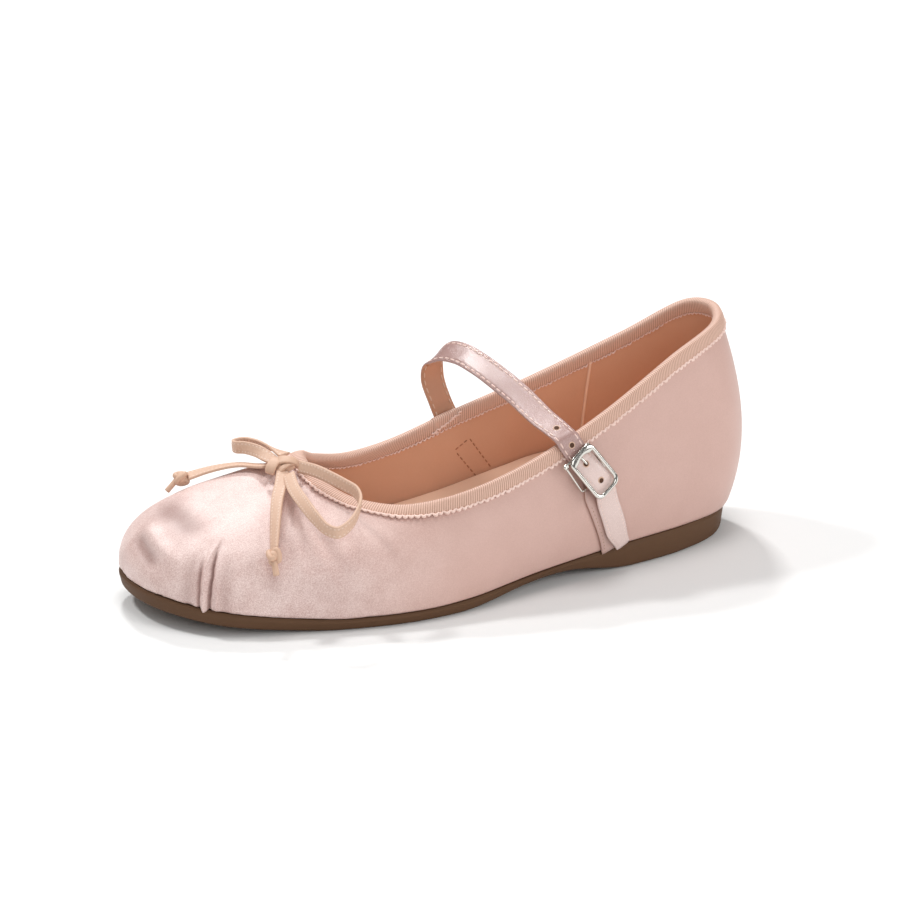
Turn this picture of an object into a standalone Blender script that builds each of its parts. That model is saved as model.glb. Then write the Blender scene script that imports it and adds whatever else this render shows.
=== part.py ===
"""Left mary jane shoe: a satin upper on a moulded sole, with a collar tape, strap, buckle and lace bow.

Metres. +X runs from the heel to the toe, +Y to the outer side of the foot and +Z up. The origin is on the
floor under the middle of the heel, where the heel rests.
"""

import math
from collections import namedtuple

import bmesh
import bpy
import numpy as np

# Last and upper
SHOE_LENGTH = 0.246  # heel to toe along the line where the upper meets the sole
BALL_WIDTH = 0.079  # across that line at the ball of the foot
COLLAR_HEIGHT = 0.081  # floor to the collar at the back of the heel
UPPER_WALL = 0.0016
GAP = 0.0003  # clearance between pieces that touch
HEEL_REST = 0.030  # back of the heel to the origin

# Sole and insole
HEEL_HEIGHT = 0.0102
FOREPART_SOLE = 0.0042
ARCH_RISE = 0.0042
TOE_SPRING = 0.0080
TOE_THICKENING = 0.0020
HEEL_SET_IN = 0.0020  # how far the heel stands in under the back of the upper
INSOLE_THICKNESS = 0.0030
INSOLE_FIT = 0.0006  # clearance between the insole's edge and the upper
INSOLE_EDGE = 0.0012  # width of its rounded upper edge
HEEL_LIFT = 0.0160  # wedge moulded into the insole under the heel
ARCH_SUPPORT = 0.0025  # rise of the insole's inner edge at the waist

# Collar binding
BINDING_DEPTH = 0.0042
BINDING_THICKNESS = 0.0006

# Straps
STRAP_WIDTH = 0.0090
STRAP_THICKNESS = 0.0013
STRAP_TIP_WIDTH = 0.0060
STRAP_TAPER = 0.0100  # length of the tapered end, at the outer side's foot
BASE_STRAP_THICKNESS = 0.0008
INSTEP_TILT = 34.0  # degrees that the strap leans towards the toe at the top of the arch

# Buckle, in its own frame: down the strap, across towards the toe, and off the wall
BUCKLE_LENGTH = 0.0195
BUCKLE_WIDTH = 0.0120
FRAME_RAIL = 0.0015
FRAME_TOP_BAR = 0.0034
FRAME_THICKNESS = 0.0012
FRAME_CORNER = 0.0030
LOOP_WIRE = 0.0009
LOOP_DROP = 0.0130  # pin to the lower bar of the loop, down the strap
PRONG_WIRE = 0.0009
PRONG_LENGTH = 0.0042

# Lace bow
LACE_WIDTH = 0.0045
LACE_THICKNESS = 0.0012
BOW_KNOT_LENGTH = 0.0090
BOW_KNOT_WIDTH = 0.0075
BOW_KNOT_HEIGHT = 0.0042
BEAD_DIAMETER = 0.0062
BEAD_LENGTH = 0.0056
LACE_END = 0.0050  # length of lace left beyond each end knot
MM = 0.001

# The laces' routes in millimetres from the middle of the bow's knot: to the toe, to the outer side, and up
OUTER_LOOP = (
    (1.0, 5.4, -2.2), (3.0, 13.3, -4.1), (3.9, 23.7, -6.1), (3.9, 33.9, -8.6), (2.5, 40.5, -10.9),
    (-0.4, 43.4, -11.6), (-5.2, 42.8, -9.7), (-9.7, 39.6, -6.9), (-12.8, 35.4, -4.4), (-13.4, 30.3, -2.7),
    (-11.6, 25.1, -1.7), (-8.9, 19.5, -0.4), (-6.1, 12.8, 0.5), (-3.2, 5.6, 0.2),
)
INNER_LOOP = (
    (1.4, -5.0, -0.6), (3.2, -8.5, 0.6), (5.0, -13.5, 1.4), (7.4, -18.5, 1.4), (9.4, -21.5, 0.9),
    (9.0, -24.8, 0.6), (5.6, -24.5, 1.0), (2.4, -19.5, 1.6), (-0.6, -12.5, 1.7), (-2.4, -5.4, 1.2),
)
OUTER_TAIL = (
    (6.2, 3.8, -4.0), (9.0, 11.0, -7.4), (13.0, 20.7, -12.4), (17.6, 29.2, -18.2), (19.4, 33.4, -21.4),
)
INNER_TAIL = (
    (4.6, -5.4, -1.9), (6.8, -10.4, -3.0), (11.2, -15.0, -3.4), (16.4, -18.8, -4.6), (21.6, -21.8, -6.2),
    (26.3, -23.8, -7.8), (29.6, -25.0, -8.8),
)
OUTER_TIP = (20.0, 37.0, -28.0)
INNER_TIP = (32.6, -25.4, -12.0)

# Mesh resolution of the lofts
COLUMNS_PER_ROW = 4
RING_SHARES = (0.0, 0.06, 0.14, 0.26, 0.42, 0.60, 0.80, 1.0)  # of the profile below the binding
RUNG_STEPS = 4

# Rows round the shoe from the back of the heel, lateral side first. The foot of a row is on the sole and its
# top is at the collar. Lengths along are shares of SHOE_LENGTH, lengths across, lean and swell are shares of
# BALL_WIDTH, and height, rise and drop are shares of COLLAR_HEIGHT.
Row = namedtuple("Row", "name foot_along foot_across top_along top_across height lean rise swell drop")
ROWS = (
    Row("heel_back", 0.010, -0.030, 0.034, -0.030, 1.042, 0.112, 0.285, 0.108, 0.315),
    Row("heel_lateral", 0.050, 0.190, 0.058, 0.138, 1.010, 0.105, 0.290, 0.105, 0.310),
    Row("quarter_back_lateral", 0.145, 0.320, 0.156, 0.280, 0.925, 0.066, 0.226, 0.037, 0.246),
    Row("quarter_lateral", 0.280, 0.395, 0.287, 0.375, 0.748, 0.063, 0.172, 0.023, 0.198),
    Row("waist_lateral", 0.420, 0.460, 0.414, 0.430, 0.600, 0.075, 0.148, 0.024, 0.173),
    Row("waist_fore_lateral", 0.544, 0.548, 0.520, 0.432, 0.514, 0.051, 0.148, 0.050, 0.123),
    Row("ball_lateral", 0.650, 0.553, 0.602, 0.354, 0.467, 0.038, 0.173, 0.127, 0.099),
    Row("toe_side_lateral", 0.788, 0.448, 0.663, 0.235, 0.481, 0.025, 0.196, 0.278, 0.099),
    Row("toe_corner_lateral", 0.907, 0.294, 0.692, 0.116, 0.519, 0.025, 0.222, 0.405, 0.111),
    Row("toe_front", 0.974, -0.038, 0.704, -0.006, 0.562, 0.032, 0.267, 0.500, 0.117),
    Row("toe_corner_medial", 0.957, -0.375, 0.701, -0.144, 0.605, 0.038, 0.298, 0.450, 0.104),
    Row("toe_side_medial", 0.832, -0.459, 0.666, -0.242, 0.548, 0.034, 0.222, 0.263, 0.085),
    Row("ball_medial", 0.700, -0.456, 0.601, -0.333, 0.493, 0.039, 0.174, 0.103, 0.095),
    Row("waist_fore_medial", 0.560, -0.353, 0.516, -0.385, 0.505, 0.076, 0.146, 0.051, 0.125),
    Row("waist_medial", 0.426, -0.266, 0.415, -0.389, 0.589, 0.127, 0.173, 0.025, 0.173),
    Row("quarter_medial", 0.284, -0.303, 0.282, -0.356, 0.712, 0.076, 0.173, 0.024, 0.198),
    Row("quarter_back_medial", 0.141, -0.328, 0.141, -0.305, 0.870, 0.063, 0.221, 0.023, 0.247),
    Row("heel_medial", 0.041, -0.235, 0.056, -0.185, 1.020, 0.095, 0.273, 0.085, 0.320),
)
ROW_COUNT = len(ROWS)
TOE_ROW = 9


def clear_scene():
    for obj in list(bpy.data.objects):
        bpy.data.objects.remove(obj)


def ease(start, end, value):
    """0 before start, 1 after end, and a smooth step between them."""
    t = np.clip((value - start) / (end - start), 0.0, 1.0)
    return t * t * (3.0 - 2.0 * t)


def unit(vectors):
    return vectors / np.linalg.norm(vectors, axis=-1, keepdims=True)


def through(knots, values, where):
    """A smooth cubic through values at knots, read at where."""
    step = np.diff(knots)
    slope = np.diff(values, axis=0) / step[:, None]
    tangent = np.empty_like(values)
    tangent[0], tangent[-1] = slope[0], slope[-1]
    weight = (step[1:] + step[:-1])[:, None]
    tangent[1:-1] = (slope[:-1] * step[1:, None] + slope[1:] * step[:-1, None]) / weight
    i = np.clip(np.searchsorted(knots, where, side="right") - 1, 0, len(knots) - 2)
    h = step[i][:, None]
    t = ((where - knots[i]) / step[i])[:, None]
    ends = (1 + 2 * t) * (1 - t) ** 2 * values[i] + t * t * (3 - 2 * t) * values[i + 1]
    return ends + h * (t * (1 - t) ** 2 * tangent[i] + t * t * (t - 1) * tangent[i + 1])


def row_lengths():
    """The rows in metres: foot along, foot across, top along, top across, height, lean, rise, swell, drop."""
    scale = [SHOE_LENGTH, BALL_WIDTH, SHOE_LENGTH, BALL_WIDTH, COLLAR_HEIGHT]
    scale += [BALL_WIDTH, COLLAR_HEIGHT, BALL_WIDTH, COLLAR_HEIGHT]
    lengths = np.array([row[1:] for row in ROWS]) * scale
    lengths[:, [0, 2]] -= HEEL_REST
    return lengths


def loop_knots(lengths):
    """Where each row lies round the loop, spaced by how far apart the rows are."""
    near = np.vstack([lengths, lengths[:1]])[:, :4] * [1.0, 1.0, 0.6, 0.6]
    return np.concatenate([[0.0], np.cumsum(np.sqrt(np.linalg.norm(np.diff(near, axis=0), axis=1)))])


LENGTHS = row_lengths()
KNOTS = loop_knots(LENGTHS)


def columns(around):
    """The rows' lengths at places round the shoe, counted in rows from the back of the heel."""
    around = np.mod(np.atleast_1d(np.asarray(around, float)), ROW_COUNT)
    knots = np.concatenate([KNOTS[-3:-1] - KNOTS[-1], KNOTS, KNOTS[1:3] + KNOTS[-1]])
    values = np.vstack([LENGTHS[-2:], LENGTHS, LENGTHS[:3]])
    where = np.interp(around, np.arange(ROW_COUNT + 1), KNOTS)
    return through(knots, values, where)


def sole_bottom(x):
    """Height of the sole's lower face: flat heel, raised arch, flat tread, then toe spring."""
    share = (x + HEEL_REST) / SHOE_LENGTH
    arch = ease(0.235, 0.36, share) * (1.0 - ease(0.37, 0.56, share))
    spring = np.clip((share - 0.74) / 0.28, 0.0, None) ** 1.4
    return ARCH_RISE * arch + TOE_SPRING * spring


def sole_top(x):
    """Height of the face that carries the upper and the insole."""
    share = (x + HEEL_REST) / SHOE_LENGTH
    heel = 1.0 - ease(0.16, 0.62, share)
    spring = np.clip((share - 0.72) / 0.30, 0.0, None) ** 1.4
    return FOREPART_SOLE + (HEEL_HEIGHT - FOREPART_SOLE) * heel + (TOE_SPRING + TOE_THICKENING) * spring


def insole_top(x, y):
    """Height of the footbed: a lifted heel seat, a slope to the ball, a raised inner edge at the waist."""
    share = (x + HEEL_REST) / SHOE_LENGTH
    lift = HEEL_LIFT * (1.0 - ease(0.16, 0.85, share))
    waist = ease(0.10, 0.40, share) * (1.0 - ease(0.50, 0.75, share))
    side = np.clip(-y / (0.38 * BALL_WIDTH), 0.0, 1.0) ** 2
    return sole_top(x) + INSOLE_THICKNESS + lift + ARCH_SUPPORT * waist * side


def foot_normals(around):
    """Outward directions in plan, square to the line where upper and sole meet."""
    step = 0.05
    ahead, behind = columns(around + step)[:, :2], columns(around - step)[:, :2]
    along = ahead - behind
    return unit(np.stack([along[:, 1], -along[:, 0]], axis=1)) * -1.0


def wall_controls(around):
    """The four Bezier points of the wall's profile at each place round the shoe."""
    c = columns(around)
    foot = np.column_stack([c[:, 0:2], sole_top(c[:, 0]) + GAP])
    top = c[:, 2:5]
    outward = foot_normals(around)
    reach = foot[:, :2] - top[:, :2]
    distance = np.linalg.norm(reach, axis=1, keepdims=True)
    share = np.clip(distance / (0.15 * BALL_WIDTH), 0.0, 1.0)
    spread = unit(outward * (1.0 - share) + share * reach / np.maximum(distance, 1e-9))
    low = foot + np.column_stack([outward * c[:, 5:6], c[:, 6]])
    high = top + np.column_stack([spread * c[:, 7:8], -c[:, 8]])
    return foot, low, high, top


def wall_surface(around, up):
    foot, low, high, top = wall_controls(around)
    u = np.asarray(up, float).reshape(-1, 1) * np.ones((len(foot), 1))
    return (1 - u) ** 3 * foot + 3 * u * (1 - u) ** 2 * low + 3 * u * u * (1 - u) * high + u**3 * top


def wall_normal(around, up):
    step = 0.01
    around = np.atleast_1d(np.asarray(around, float))
    up = np.asarray(up, float) * np.ones(len(around))
    along = wall_surface(around + step, up) - wall_surface(around - step, up)
    rise = wall_surface(around, up + step) - wall_surface(around, up - step)
    return unit(np.cross(rise, along))


def wall(around, up, out=0.0):
    """Points of the upper's outer face, moved outwards by out."""
    around = np.atleast_1d(np.asarray(around, float))
    up = np.asarray(up, float) * np.ones(len(around))
    return wall_surface(around, up) + np.asarray(out, float).reshape(-1, 1) * wall_normal(around, up)


def up_below_collar(around, depth):
    """How far up the profile a point lies that is depth below the collar."""
    _, _, high, top = wall_controls(around)
    return 1.0 - depth / (3.0 * np.linalg.norm(top - high, axis=1))


def up_at_height(around, height, out=0.0):
    """How far up the profile the wall, moved outwards by out, reaches a height."""
    low, high = np.zeros(len(around)), np.ones(len(around))
    for _ in range(24):
        middle = (low + high) / 2
        under = wall(around, middle, out)[:, 2] < height
        low, high = np.where(under, middle, low), np.where(under, high, middle)
    return (low + high) / 2


def place_on_wall(along, height, side):
    """Where the wall's outer face has a given x and height: rows round the shoe, and share up the profile."""
    along, height = np.atleast_1d(along), np.atleast_1d(height)
    first, last = (0.0, TOE_ROW) if side == "lateral" else (ROW_COUNT, TOE_ROW)
    around = np.full(len(along), (first + last) / 2.0)
    up = np.full(len(along), 0.5)
    for _ in range(6):
        low, high = np.full(len(along), float(first)), np.full(len(along), float(last))
        for _ in range(20):
            around = (low + high) / 2
            before = wall_surface(around, up)[:, 0] < along
            low, high = np.where(before, around, low), np.where(before, high, around)
        up = up_at_height(around, height)
    return around, up


def mesh_object(name, points, faces, material):
    mesh = bpy.data.meshes.new(name)
    bm = bmesh.new()
    verts = [bm.verts.new(p) for p in points]
    for face in faces:
        bm.faces.new([verts[i] for i in face])
    bmesh.ops.recalc_face_normals(bm, faces=bm.faces)
    bm.to_mesh(mesh)
    bm.free()
    obj = bpy.data.objects.new(name, mesh)
    PARTS.objects.link(obj)
    obj.data.materials.append(material)
    obj.data.shade_smooth()
    obj.data.set_sharp_from_angle(angle=math.radians(35))
    return obj


def material(name, colour, roughness, metallic=0.0):
    made = bpy.data.materials.new(name)
    made.use_nodes = True
    shader = made.node_tree.nodes["Principled BSDF"]
    shader.inputs["Base Color"].default_value = (*colour, 1.0)
    shader.inputs["Roughness"].default_value = roughness
    shader.inputs["Metallic"].default_value = metallic
    return made


def ring_faces(count, rings, closed_rings=False):
    """Quads between rings of count points each."""
    faces = []
    pairs = rings if closed_rings else rings - 1
    for r in range(pairs):
        below, above = r * count, (r + 1) % rings * count
        for i in range(count):
            j = (i + 1) % count
            faces.append((below + i, below + j, above + j, above + i))
    return faces


def ladder_cap(ring, first, height):
    """Points and faces that close a ring with rungs from the lateral to the medial side."""
    count = len(ring)
    half = count // 2
    points, faces = [], []
    rungs = [[first]]
    for j in range(1, half):
        a, b = ring[j], ring[count - j]
        rung = [first + j]
        for step in range(1, RUNG_STEPS):
            t = step / RUNG_STEPS
            x, y = a[0] + t * (b[0] - a[0]), a[1] + t * (b[1] - a[1])
            points.append((x, y, float(height(x, y))))
            rung.append(-len(points))
        rung.append(first + count - j)
        rungs.append(rung)
    rungs.append([first + half])
    for a, b in zip(rungs[:-1], rungs[1:]):
        for step in range(RUNG_STEPS):
            corners = [a[step], a[step + 1], b[step + 1], b[step]] if len(a) == len(b) else None
            if corners is None:
                corners = [a[0], b[step + 1], b[step]] if len(a) == 1 else [a[step], a[step + 1], b[0]]
            faces.append(corners)
    return points, faces


def capped_loft(name, rings, top_height, bottom_height, finish):
    """A solid from rings that run from its lower edge to its upper edge, closed by two ladder caps."""
    count = len(rings[0])
    points = [tuple(p) for ring in rings for p in ring]
    faces = ring_faces(count, len(rings))
    for ring, height in ((0, bottom_height), (len(rings) - 1, top_height)):
        inner, cap = ladder_cap(rings[ring], ring * count, height)
        base = len(points)
        points += inner
        faces += [[base - i - 1 if i < 0 else i for i in face] for face in cap]
    return mesh_object(name, points, faces, finish)


def all_columns():
    return np.arange(ROW_COUNT * COLUMNS_PER_ROW) / COLUMNS_PER_ROW


def make_outsole():
    """One moulded piece: flat heel and tread, an arch between them, and a side that turns under."""
    around = all_columns()
    foot = columns(around)[:, :2]
    outward = foot_normals(around)
    share = (foot[:, 0] + HEEL_REST) / SHOE_LENGTH
    set_in = HEEL_SET_IN * (1.0 - ease(0.02, 0.16, share))
    # Outset from the foot line, share of the side's height and rise above the lower edge
    edge = (
        (-0.0022, 0.0, 0.0), (-0.0012, 0.0, 0.0003), (-0.0005, 0.0, 0.0012),
        (0.0002, 0.6, 0.0), (0.0001, 1.0, 0.0),
    )
    rings = []
    for outset, part, lift in edge:
        plan = foot + outward * (outset - set_in)[:, None]
        low, high = sole_bottom(plan[:, 0]), sole_top(plan[:, 0])
        rings.append(np.column_stack([plan, low + part * (high - low) + lift]))
    return capped_loft("outsole", rings, lambda x, y: sole_top(x), lambda x, y: sole_bottom(x), RUBBER)


def make_upper():
    """The whole upper as one wall, open at the collar and underneath."""
    around = all_columns()
    leg = up_below_collar(around, BINDING_DEPTH)
    middle = up_below_collar(around, BINDING_DEPTH / 2)
    ups = [leg * share for share in RING_SHARES] + [middle, np.ones(len(around))]
    rings = [wall(around, up) for up in ups]
    points = [tuple(p) for ring in rings for p in ring]
    upper = mesh_object("upper", points, ring_faces(len(around), len(rings)), SATIN)
    if upper.data.polygons[0].normal.dot(wall_normal(0.0, 0.0)[0]) < 0:
        upper.data.flip_normals()
    shell = upper.modifiers.new("wall", "SOLIDIFY")
    shell.thickness = UPPER_WALL
    shell.offset = -1.0
    shell.use_even_offset = True
    return upper


def make_insole():
    """Footbed with a wedge under the heel, fitted inside the upper's wall."""
    around = all_columns()
    inside = -(UPPER_WALL + INSOLE_FIT)
    low = wall(around, 0.0, inside)
    low[:, 2] = sole_top(low[:, 0]) + GAP
    reach = columns(around)[:, :2]
    shoulder = insole_top(reach[:, 0], reach[:, 1]) - INSOLE_EDGE / 2
    rings = [low]
    for part in (0.5, 1.0):
        height = low[:, 2] + part * (shoulder - low[:, 2])
        rings.append(wall(around, up_at_height(around, height, inside), inside))
    inner = rings[-1].copy()
    inner[:, :2] -= foot_normals(around) * INSOLE_EDGE
    inner[:, 2] = insole_top(inner[:, 0], inner[:, 1])
    rings.append(inner)
    return capped_loft("insole", rings, insole_top, lambda x, y: sole_top(x) + GAP, FOOTBED)


def make_collar_binding():
    """Grosgrain tape folded over the collar: a U section carried round the opening."""
    around = all_columns()
    ones = np.ones(len(around))
    leg = up_below_collar(around, BINDING_DEPTH)
    middle = up_below_collar(around, BINDING_DEPTH / 2)
    near, far = GAP, GAP + BINDING_THICKNESS
    rise = unit(wall_surface(around, ones) - wall_surface(around, middle))
    section = [
        wall(around, leg, far),
        wall(around, middle, far),
        wall(around, ones, far * 0.9) + rise * GAP,
        wall(around, ones, -UPPER_WALL * 0.5) + rise * (far + GAP / 2),
        wall(around, ones, -UPPER_WALL - far * 0.9) + rise * GAP,
        wall(around, middle, -UPPER_WALL - far),
        wall(around, leg, -UPPER_WALL - far),
        wall(around, leg, -UPPER_WALL - near),
        wall(around, middle, -UPPER_WALL - near),
        wall(around, ones, -UPPER_WALL - near * 0.9) + rise * GAP,
        wall(around, ones, near * 0.9) + rise * GAP,
        wall(around, middle, near),
        wall(around, leg, near),
    ]
    points = [tuple(p) for ring in section for p in ring]
    return mesh_object("collar_binding", points, ring_faces(len(around), len(section), True), GROSGRAIN)


def band_sections(path, across, width, thickness):
    """Flat rings with eased corners along a path, whose width runs along across."""
    path = np.asarray(path, float)
    tangent = unit(np.gradient(path, axis=0))
    wide = unit(across - tangent * (across * tangent).sum(axis=1, keepdims=True))
    face = np.cross(wide, tangent)
    ease_corner = 0.3 * thickness
    deep = thickness / 2
    rings = []
    for point, side, up, half in zip(path, wide, face, np.ones(len(path)) * width / 2):
        near, far = half - ease_corner, ease_corner - half
        low, high = ease_corner - deep, deep - ease_corner
        upper_half = ((half, high), (near, deep), (far, deep), (-half, high))
        outline = upper_half + ((-half, low), (far, -deep), (near, -deep), (half, low))
        rings.append(np.array([point + side * a + up * b for a, b in outline]))
    return rings


def closed_ends(rings):
    """Points and faces of a tube of rings whose ends are closed."""
    count = len(rings[0])
    points = [tuple(p) for ring in rings for p in ring]
    faces = ring_faces(count, len(rings))
    faces.append(list(range(count)))
    faces.append(list(range((len(rings) - 1) * count, len(rings) * count)))
    return points, faces


def spaced(points, step):
    """A smooth curve through points, read at even distances of about step."""
    points = np.asarray(points, float)
    gaps = np.linalg.norm(np.diff(points[:, :3], axis=0), axis=1)
    knots = np.concatenate([[0.0], np.cumsum(np.sqrt(gaps))])
    fine = through(knots, points, np.linspace(0.0, knots[-1], 400))
    run = np.concatenate([[0.0], np.cumsum(np.linalg.norm(np.diff(fine[:, :3], axis=0), axis=1))])
    where = np.linspace(0.0, run[-1], max(3, round(run[-1] / step) + 1))
    return np.column_stack([np.interp(where, run, fine[:, i]) for i in range(fine.shape[1])])


def wall_route(side, leg):
    """A leg's points on the wall: place, outward direction and 0 for a point that is not free of the wall."""
    knots = []
    for along, height, off in leg:
        around, up = place_on_wall(along * SHOE_LENGTH - HEEL_REST, height * COLLAR_HEIGHT, side)
        knots.append((*wall(around, up, off)[0], *wall_normal(around, up)[0], 0.0))
    return knots


def flat_band(name, path, width, thickness, finish):
    """A strap along a path, flat against the wall where it lies on it and tilted where it is free."""
    tangent = unit(np.gradient(path[:, :3], axis=0))
    on_wall = np.cross(tangent, path[:, 3:6])
    on_wall *= np.sign(on_wall[:, :1])
    tilt = math.radians(INSTEP_TILT) * ease(0.62 * COLLAR_HEIGHT, 0.85 * COLLAR_HEIGHT, path[:, 2])
    free = np.column_stack([np.cos(tilt), np.zeros(len(path)), -np.sin(tilt)])
    across = unit((1.0 - path[:, 6:7]) * on_wall + path[:, 6:7] * free)
    points, faces = closed_ends(band_sections(path[:, :3], across, width, thickness))
    return mesh_object(name, points, faces, finish)


def make_strap():
    """The long strap: up the inner wall, over the instep, down the outer wall and through the buckle."""
    on_wall = GAP + STRAP_THICKNESS / 2
    over_binding = on_wall + BINDING_THICKNESS + 2 * GAP
    over_base = on_wall + BASE_STRAP_THICKNESS + GAP
    over_fold = over_base + LOOP_WIRE + BASE_STRAP_THICKNESS + 3 * GAP
    # Shares of SHOE_LENGTH along and COLLAR_HEIGHT up, then the distance off the wall
    inner_leg = (
        (0.321, 0.125, on_wall), (0.345, 0.220, on_wall), (0.370, 0.335, on_wall),
        (0.392, 0.430, over_binding), (0.408, 0.500, over_binding), (0.4185, 0.550, over_binding),
    )
    outer_leg = (
        (0.354, 0.647, over_binding), (0.346, 0.612, over_binding), (0.3385, 0.577, over_binding),
        (0.327, 0.526, 0.35 * over_binding + 0.65 * over_fold), (0.318, 0.488, over_fold),
        (0.312, 0.460, over_fold), (0.304, 0.422, 0.5 * over_fold + 0.5 * over_base),
        (0.2965, 0.360, over_base), (0.2885, 0.290, over_base),
        (0.279, 0.215, over_base), (0.2645, 0.140, over_base),
    )
    # The free arch: along, across in shares of BALL_WIDTH, and up
    arch = (
        (0.429, -0.440, 0.645), (0.434, -0.480, 0.740), (0.432, -0.470, 0.825), (0.425, -0.405, 0.880),
        (0.415, -0.300, 0.895), (0.405, -0.180, 0.878), (0.394, -0.040, 0.843), (0.383, 0.110, 0.797),
        (0.374, 0.260, 0.745), (0.366, 0.365, 0.715), (0.3605, 0.425, 0.690),
    )
    knots = wall_route("medial", inner_leg)
    for along, across, height in arch:
        place = (along * SHOE_LENGTH - HEEL_REST, across * BALL_WIDTH, height * COLLAR_HEIGHT)
        knots.append((*place, 0.0, 0.0, 0.0, 1.0))
    knots += wall_route("lateral", outer_leg)
    path = spaced(knots, 0.0042)
    to_tip = np.linalg.norm(path[:, :3] - path[-1, :3], axis=1)
    width = STRAP_TIP_WIDTH + (STRAP_WIDTH - STRAP_TIP_WIDTH) * ease(0.0, STRAP_TAPER, to_tip)
    return flat_band("instep_strap", path, width, STRAP_THICKNESS, STRAP_SATIN)


def buckle_frame_of_reference():
    """The buckle's centre and its directions: down the strap, across to the toe side, off the wall."""
    around, up = place_on_wall(0.327 * SHOE_LENGTH - HEEL_REST, 0.526 * COLLAR_HEIGHT, "lateral")
    centre, off = wall(around, up)[0], wall_normal(around, up)[0]
    down = np.array([-0.57, 0.0, -0.82])
    down = unit(down - off * (down @ off))
    across = np.cross(down, off)
    return centre, down, across * np.sign(across[0]), off


def in_buckle(along, across, off):
    """A point given in the buckle's frame, in metres."""
    centre, down, side, out = BUCKLE
    return centre + along * down + across * side + off * out


def make_base_strap():
    """The short strap from the sole line up to the buckle, folded round the loop's lower bar."""
    layer = GAP + BASE_STRAP_THICKNESS / 2
    leg = (
        (0.279, 0.122, layer), (0.288, 0.200, layer), (0.298, 0.275, layer),
        (0.3075, 0.345, layer), (0.315, 0.400, layer),
    )
    path = list(spaced(wall_route("lateral", leg), 0.0060))
    for angle in np.radians((-75, -35, 0, 35, 70, 105)):
        along = LOOP_BAR_ALONG - LOOP_TURN * math.cos(angle)
        place = in_buckle(along, 0.0, LOOP_BAR_OFF + LOOP_TURN * math.sin(angle))
        facing = -math.cos(angle) * BUCKLE[1] + math.sin(angle) * BUCKLE[3]
        path.append((*place, *-facing, 0.0))
    return flat_band("buckle_strap", np.array(path), STRAP_WIDTH, BASE_STRAP_THICKNESS, STRAP_SATIN)


def rounded_loop(half_along, half_across, radius, per_corner=4):
    """Points of a rounded rectangle in the buckle's plane, as along and across."""
    points = []
    for corner, (a, b) in enumerate(((1, 1), (1, -1), (-1, -1), (-1, 1))):
        centre = (a * (half_along - radius), b * (half_across - radius))
        start = math.radians((90, 0, -90, -180)[corner])
        for k in range(per_corner):
            angle = start - math.radians(90) * k / (per_corner - 1)
            points.append((centre[0] + radius * math.cos(angle), centre[1] + radius * math.sin(angle)))
    return points


def make_buckle_frame():
    """A flat rounded frame, wide at its upper end, where a notch takes the prong."""
    outer = rounded_loop(BUCKLE_LENGTH / 2, BUCKLE_WIDTH / 2, FRAME_CORNER)
    half_along, half_across = BUCKLE_LENGTH / 2 - FRAME_RAIL, BUCKLE_WIDTH / 2 - FRAME_RAIL
    inner = rounded_loop(half_along, half_across, FRAME_CORNER - FRAME_RAIL)
    top_edge = FRAME_TOP_BAR - BUCKLE_LENGTH / 2
    inner = [(max(along, top_edge), across) for along, across in inner]
    rings = []
    for loop, side in ((outer, 1), (inner, 1), (inner, -1), (outer, -1)):
        ring = []
        for along, across in loop:
            off = FRAME_OFF + FRAME_LEAN * along + side * FRAME_THICKNESS / 2
            ring.append(tuple(in_buckle(along, across, off)))
        rings.append(ring)
    points = [p for ring in rings for p in ring]
    frame = mesh_object("buckle_frame", points, ring_faces(len(outer), 4, True), CHROME)
    edge = frame.modifiers.new("edges", "BEVEL")
    edge.width = 0.00025
    edge.segments = 1
    edge.angle_limit = math.radians(60)
    return frame


def wire(name, points, diameter, finish, closed=False, sides=2):
    """A round wire or lace along points."""
    curve = bpy.data.curves.new(name, "CURVE")
    curve.dimensions = "3D"
    curve.bevel_depth = diameter / 2
    curve.bevel_resolution = sides
    curve.use_fill_caps = not closed
    line = curve.splines.new("POLY")
    line.points.add(len(points) - 1)
    for slot, point in zip(line.points, points):
        slot.co = (*point, 1.0)
    line.use_cyclic_u = closed
    obj = bpy.data.objects.new(name, curve)
    PARTS.objects.link(obj)
    curve.materials.append(finish)
    return obj


def make_buckle_loop():
    """The wire loop under the frame: its upper side is the pin that the prong turns on."""
    pin, bar = PIN_ALONG, LOOP_BAR_ALONG
    outline = rounded_loop((bar - pin) / 2, (LOOP_TOE_SIDE + LOOP_HEEL_SIDE) / 2, LOOP_WIRE)
    points = []
    for along, across in outline:
        place = along + (bar + pin) / 2
        off = PIN_OFF + (LOOP_BAR_OFF - PIN_OFF) * (place - pin) / (bar - pin)
        points.append(in_buckle(place, across + (LOOP_TOE_SIDE - LOOP_HEEL_SIDE) / 2, off))
    return wire("buckle_loop", points, LOOP_WIRE, CHROME, closed=True)


def make_buckle_prong():
    """The prong, from just below the pin down to the strap."""
    start = PIN_ALONG + LOOP_WIRE / 2 + GAP + PRONG_WIRE / 2
    points = []
    for part, rise in ((0.0, 0.0), (0.35, 0.05), (0.7, 0.45), (1.0, 0.9)):
        points.append(in_buckle(start + part * PRONG_LENGTH, 0.0, PIN_OFF + rise * PRONG_WIRE))
    return wire("buckle_prong", points, PRONG_WIRE, CHROME)


def area_direction(points):
    """The direction that a loop of points faces."""
    around = points - points.mean(axis=0)
    total = np.cross(around, np.roll(around, -1, axis=0)).sum(axis=0)
    return total / np.linalg.norm(total)


def lace_path(offsets, step=0.0030):
    """A lace's route in metres, from places in millimetres measured from the bow's knot."""
    return spaced(np.array(offsets) * MM + BOW_KNOT, step)


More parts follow.
